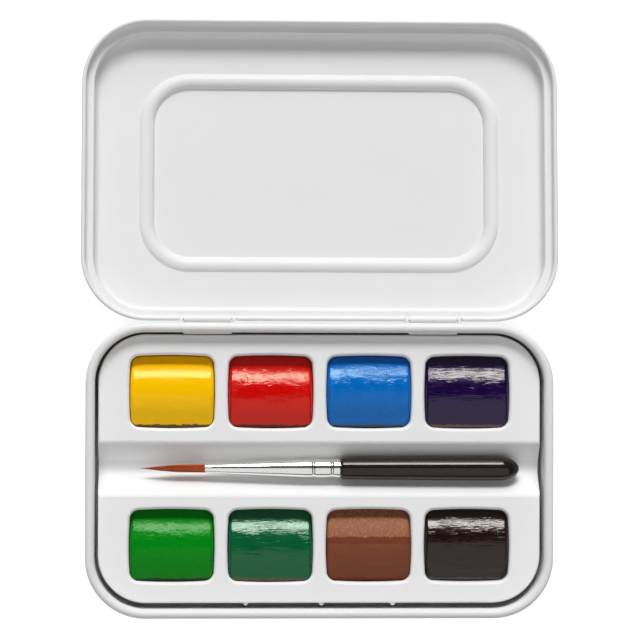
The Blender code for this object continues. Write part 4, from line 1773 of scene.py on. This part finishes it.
        angle, sway = turns
        rings = []
        for step in range(self.hair_steps):
            share = -self.rooted + (end + self.rooted) * step / self.hair_steps
            turn = angle + sway * share
            centre = middle(share, turn)
            thick = self.spread(max(0.0, share)) * math.sqrt(math.pi / self.hairs) * self.fullness
            sides = [turn + math.radians(corner) for corner in self.hair_corners]
            rings.append([
                bm.verts.new(centre + Vector((0, thick * math.cos(side), thick * math.sin(side))))
                for side in sides
            ])
        tip = bm.verts.new(middle(end, angle + sway * end))
        pairs = ((0, 1), (1, 2), (2, 0))
        for lower, upper in zip(rings, rings[1:]):
            for here, there in pairs:
                bm.faces.new((lower[here], lower[there], upper[there], upper[here]))
        for here, there in pairs:
            bm.faces.new((rings[-1][here], rings[-1][there], tip))
        bm.faces.new(rings[0][::-1])

    def tuft(self, hair: Material) -> None:
        """Lay the hairs: each keeps its place among its neighbours and the outer ones stop short.

        Args:
            hair: The tuft's finish.
        """
        chance = random.Random(self.seed)
        golden = math.pi * (3 - math.sqrt(5))
        bm = bmesh.new()
        for index in range(self.hairs):
            reach = math.sqrt((index + 0.5) / self.hairs)
            uneven = chance.uniform(-self.unevenness, self.unevenness)
            end = min(1.0, 1 - self.stop_short * reach**2 + uneven)
            self.strand(bm, end, reach, (index * golden, chance.uniform(-self.sway, self.sway)))
        mesh = bpy.data.meshes.new("tuft")
        bm.to_mesh(mesh)
        bm.free()
        mesh.transform(Matrix.Translation(self.middle()))
        piece = bpy.data.objects.new("tuft", mesh)
        bpy.context.scene.collection.objects.link(piece)
        smooth(piece, angle=80.0, weighted=False)
        hand_over(piece, "tuft_hairs", "brush_tuft", "brush", hair)


# ---- the studio ----


@dataclass(frozen=True)
class Lamp:
    """A soft panel: watts, its size along X and across, and its tilt from straight up to the back."""

    name: str
    power: float
    size: Point
    tilt: float

    def hang(self, middle_y: float, distance: float) -> None:
        """Hang the panel so that it faces the set.

        Args:
            middle_y: The place of the set's middle along Y.
            distance: How far from it the panel hangs.
        """
        data = bpy.data.lights.new(self.name, "AREA")
        data.shape = "RECTANGLE"
        data.size, data.size_y = self.size
        data.energy = self.power
        lamp = bpy.data.objects.new(self.name, data)
        angle = math.radians(self.tilt)
        lamp.location = (0, middle_y + distance * math.sin(angle), distance * math.cos(angle))
        lamp.rotation_euler = (-angle, 0, 0)
        bpy.context.scene.collection.objects.link(lamp)


@dataclass
class Studio:
    """The floor, the lamps and the camera."""

    eye: Place = (-0.025, 0.0290, 0.600)
    aim: Place = (0.0096, -0.0423, 0.0029)
    lens: float = 143.7
    sensor: float = 36.0
    clip: Point = (0.01, 10.0)
    middle_y: float = 0.035
    floor_size: float = 3.0
    floor_white: Colour = (0.8, 0.8, 0.8)
    floor_roughness: float = 0.9
    glow: float = 0.8
    room: float = 0.04
    distance: float = 3.0
    lamps: tuple[Lamp, ...] = (
        Lamp("key", 66.0, (1.6, 0.76), 51.5),
        Lamp("key_low", 20.0, (1.6, 0.95), 67.0),
        Lamp("front", 52.0, (4.8, 4.65), -32.0),
    )

    def camera(self) -> None:
        """Set the camera up over the set, looking down."""
        lens = bpy.data.cameras.new("camera")
        lens.lens = self.lens
        lens.sensor_width = self.sensor
        lens.clip_start, lens.clip_end = self.clip
        camera = bpy.data.objects.new("camera", lens)
        camera.location = self.eye
        camera.rotation_euler = self.aim
        bpy.context.scene.collection.objects.link(camera)
        bpy.context.scene.camera = camera

    def floor(self) -> None:
        """Lay a white floor that still takes the set's shadow."""
        bpy.ops.object.select_all(action="DESELECT")
        bpy.ops.mesh.primitive_plane_add(size=self.floor_size, location=(0, self.middle_y, 0))
        floor = bpy.context.object
        floor.name = "floor"
        work = Paintwork("floor_white")
        work.set(Base_Color=(*self.floor_white, 1.0), Roughness=self.floor_roughness)
        rays = work.nodes.new("ShaderNodeLightPath").outputs
        seen = work.worked(rays["Is Camera Ray"], rays["Is Glossy Ray"], Sum.LARGER)
        seen = work.worked(seen, rays["Is Transmission Ray"], Sum.LARGER)
        choice = work.nodes.new("ShaderNodeMixShader")
        work.links.new(seen, choice.inputs["Fac"])
        for socket, strength in ((1, 0.0), (2, self.glow)):
            light = work.nodes.new("ShaderNodeEmission")
            light.inputs["Strength"].default_value = strength
            work.links.new(light.outputs["Emission"], choice.inputs[socket])
        both = work.nodes.new("ShaderNodeAddShader")
        work.links.new(work.shader.outputs["BSDF"], both.inputs[0])
        work.links.new(choice.outputs["Shader"], both.inputs[1])
        output = next(node for node in work.nodes if node.type == "OUTPUT_MATERIAL")
        work.links.new(both.outputs["Shader"], output.inputs["Surface"])
        floor.data.materials.append(work.material)

    def build(self) -> None:
        """Set up the whole studio."""
        self.camera()
        self.floor()
        for lamp in self.lamps:
            lamp.hang(self.middle_y, self.distance)
        world = bpy.data.worlds.new("room")
        bpy.context.scene.world = world
        world.use_nodes = True
        room = world.node_tree.nodes["Background"]
        room.inputs["Color"].default_value = (1, 1, 1, 1)
        room.inputs["Strength"].default_value = self.room
        bpy.context.scene.view_settings.view_transform = "Standard"


def main() -> None:
    """Build the studio and every piece in order."""
    bpy.ops.object.select_all(action="DESELECT")
    Studio().build()
    enamel = Enamel().material()
    hinge = Hinge()
    BaseTin(hinge).build(enamel)
    LidTin(hinge).build(enamel)
    steel = WireSteel().material()
    for side in ("left", "right"):
        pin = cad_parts["hinge_pin_" + side]
        pin.data.materials.clear()
        pin.data.materials.append(steel)
    well = Well()
    tray = Tray(well)
    tray.build(MouldedWhite().material())
    Cakes(well).build()
    brush = Brush(tray)
    brush.handle(Lacquer().material())
    brush.ferrule(Nickel().material())
    brush.tuft(Hair().material())


if __name__ == "__main__":
    main()
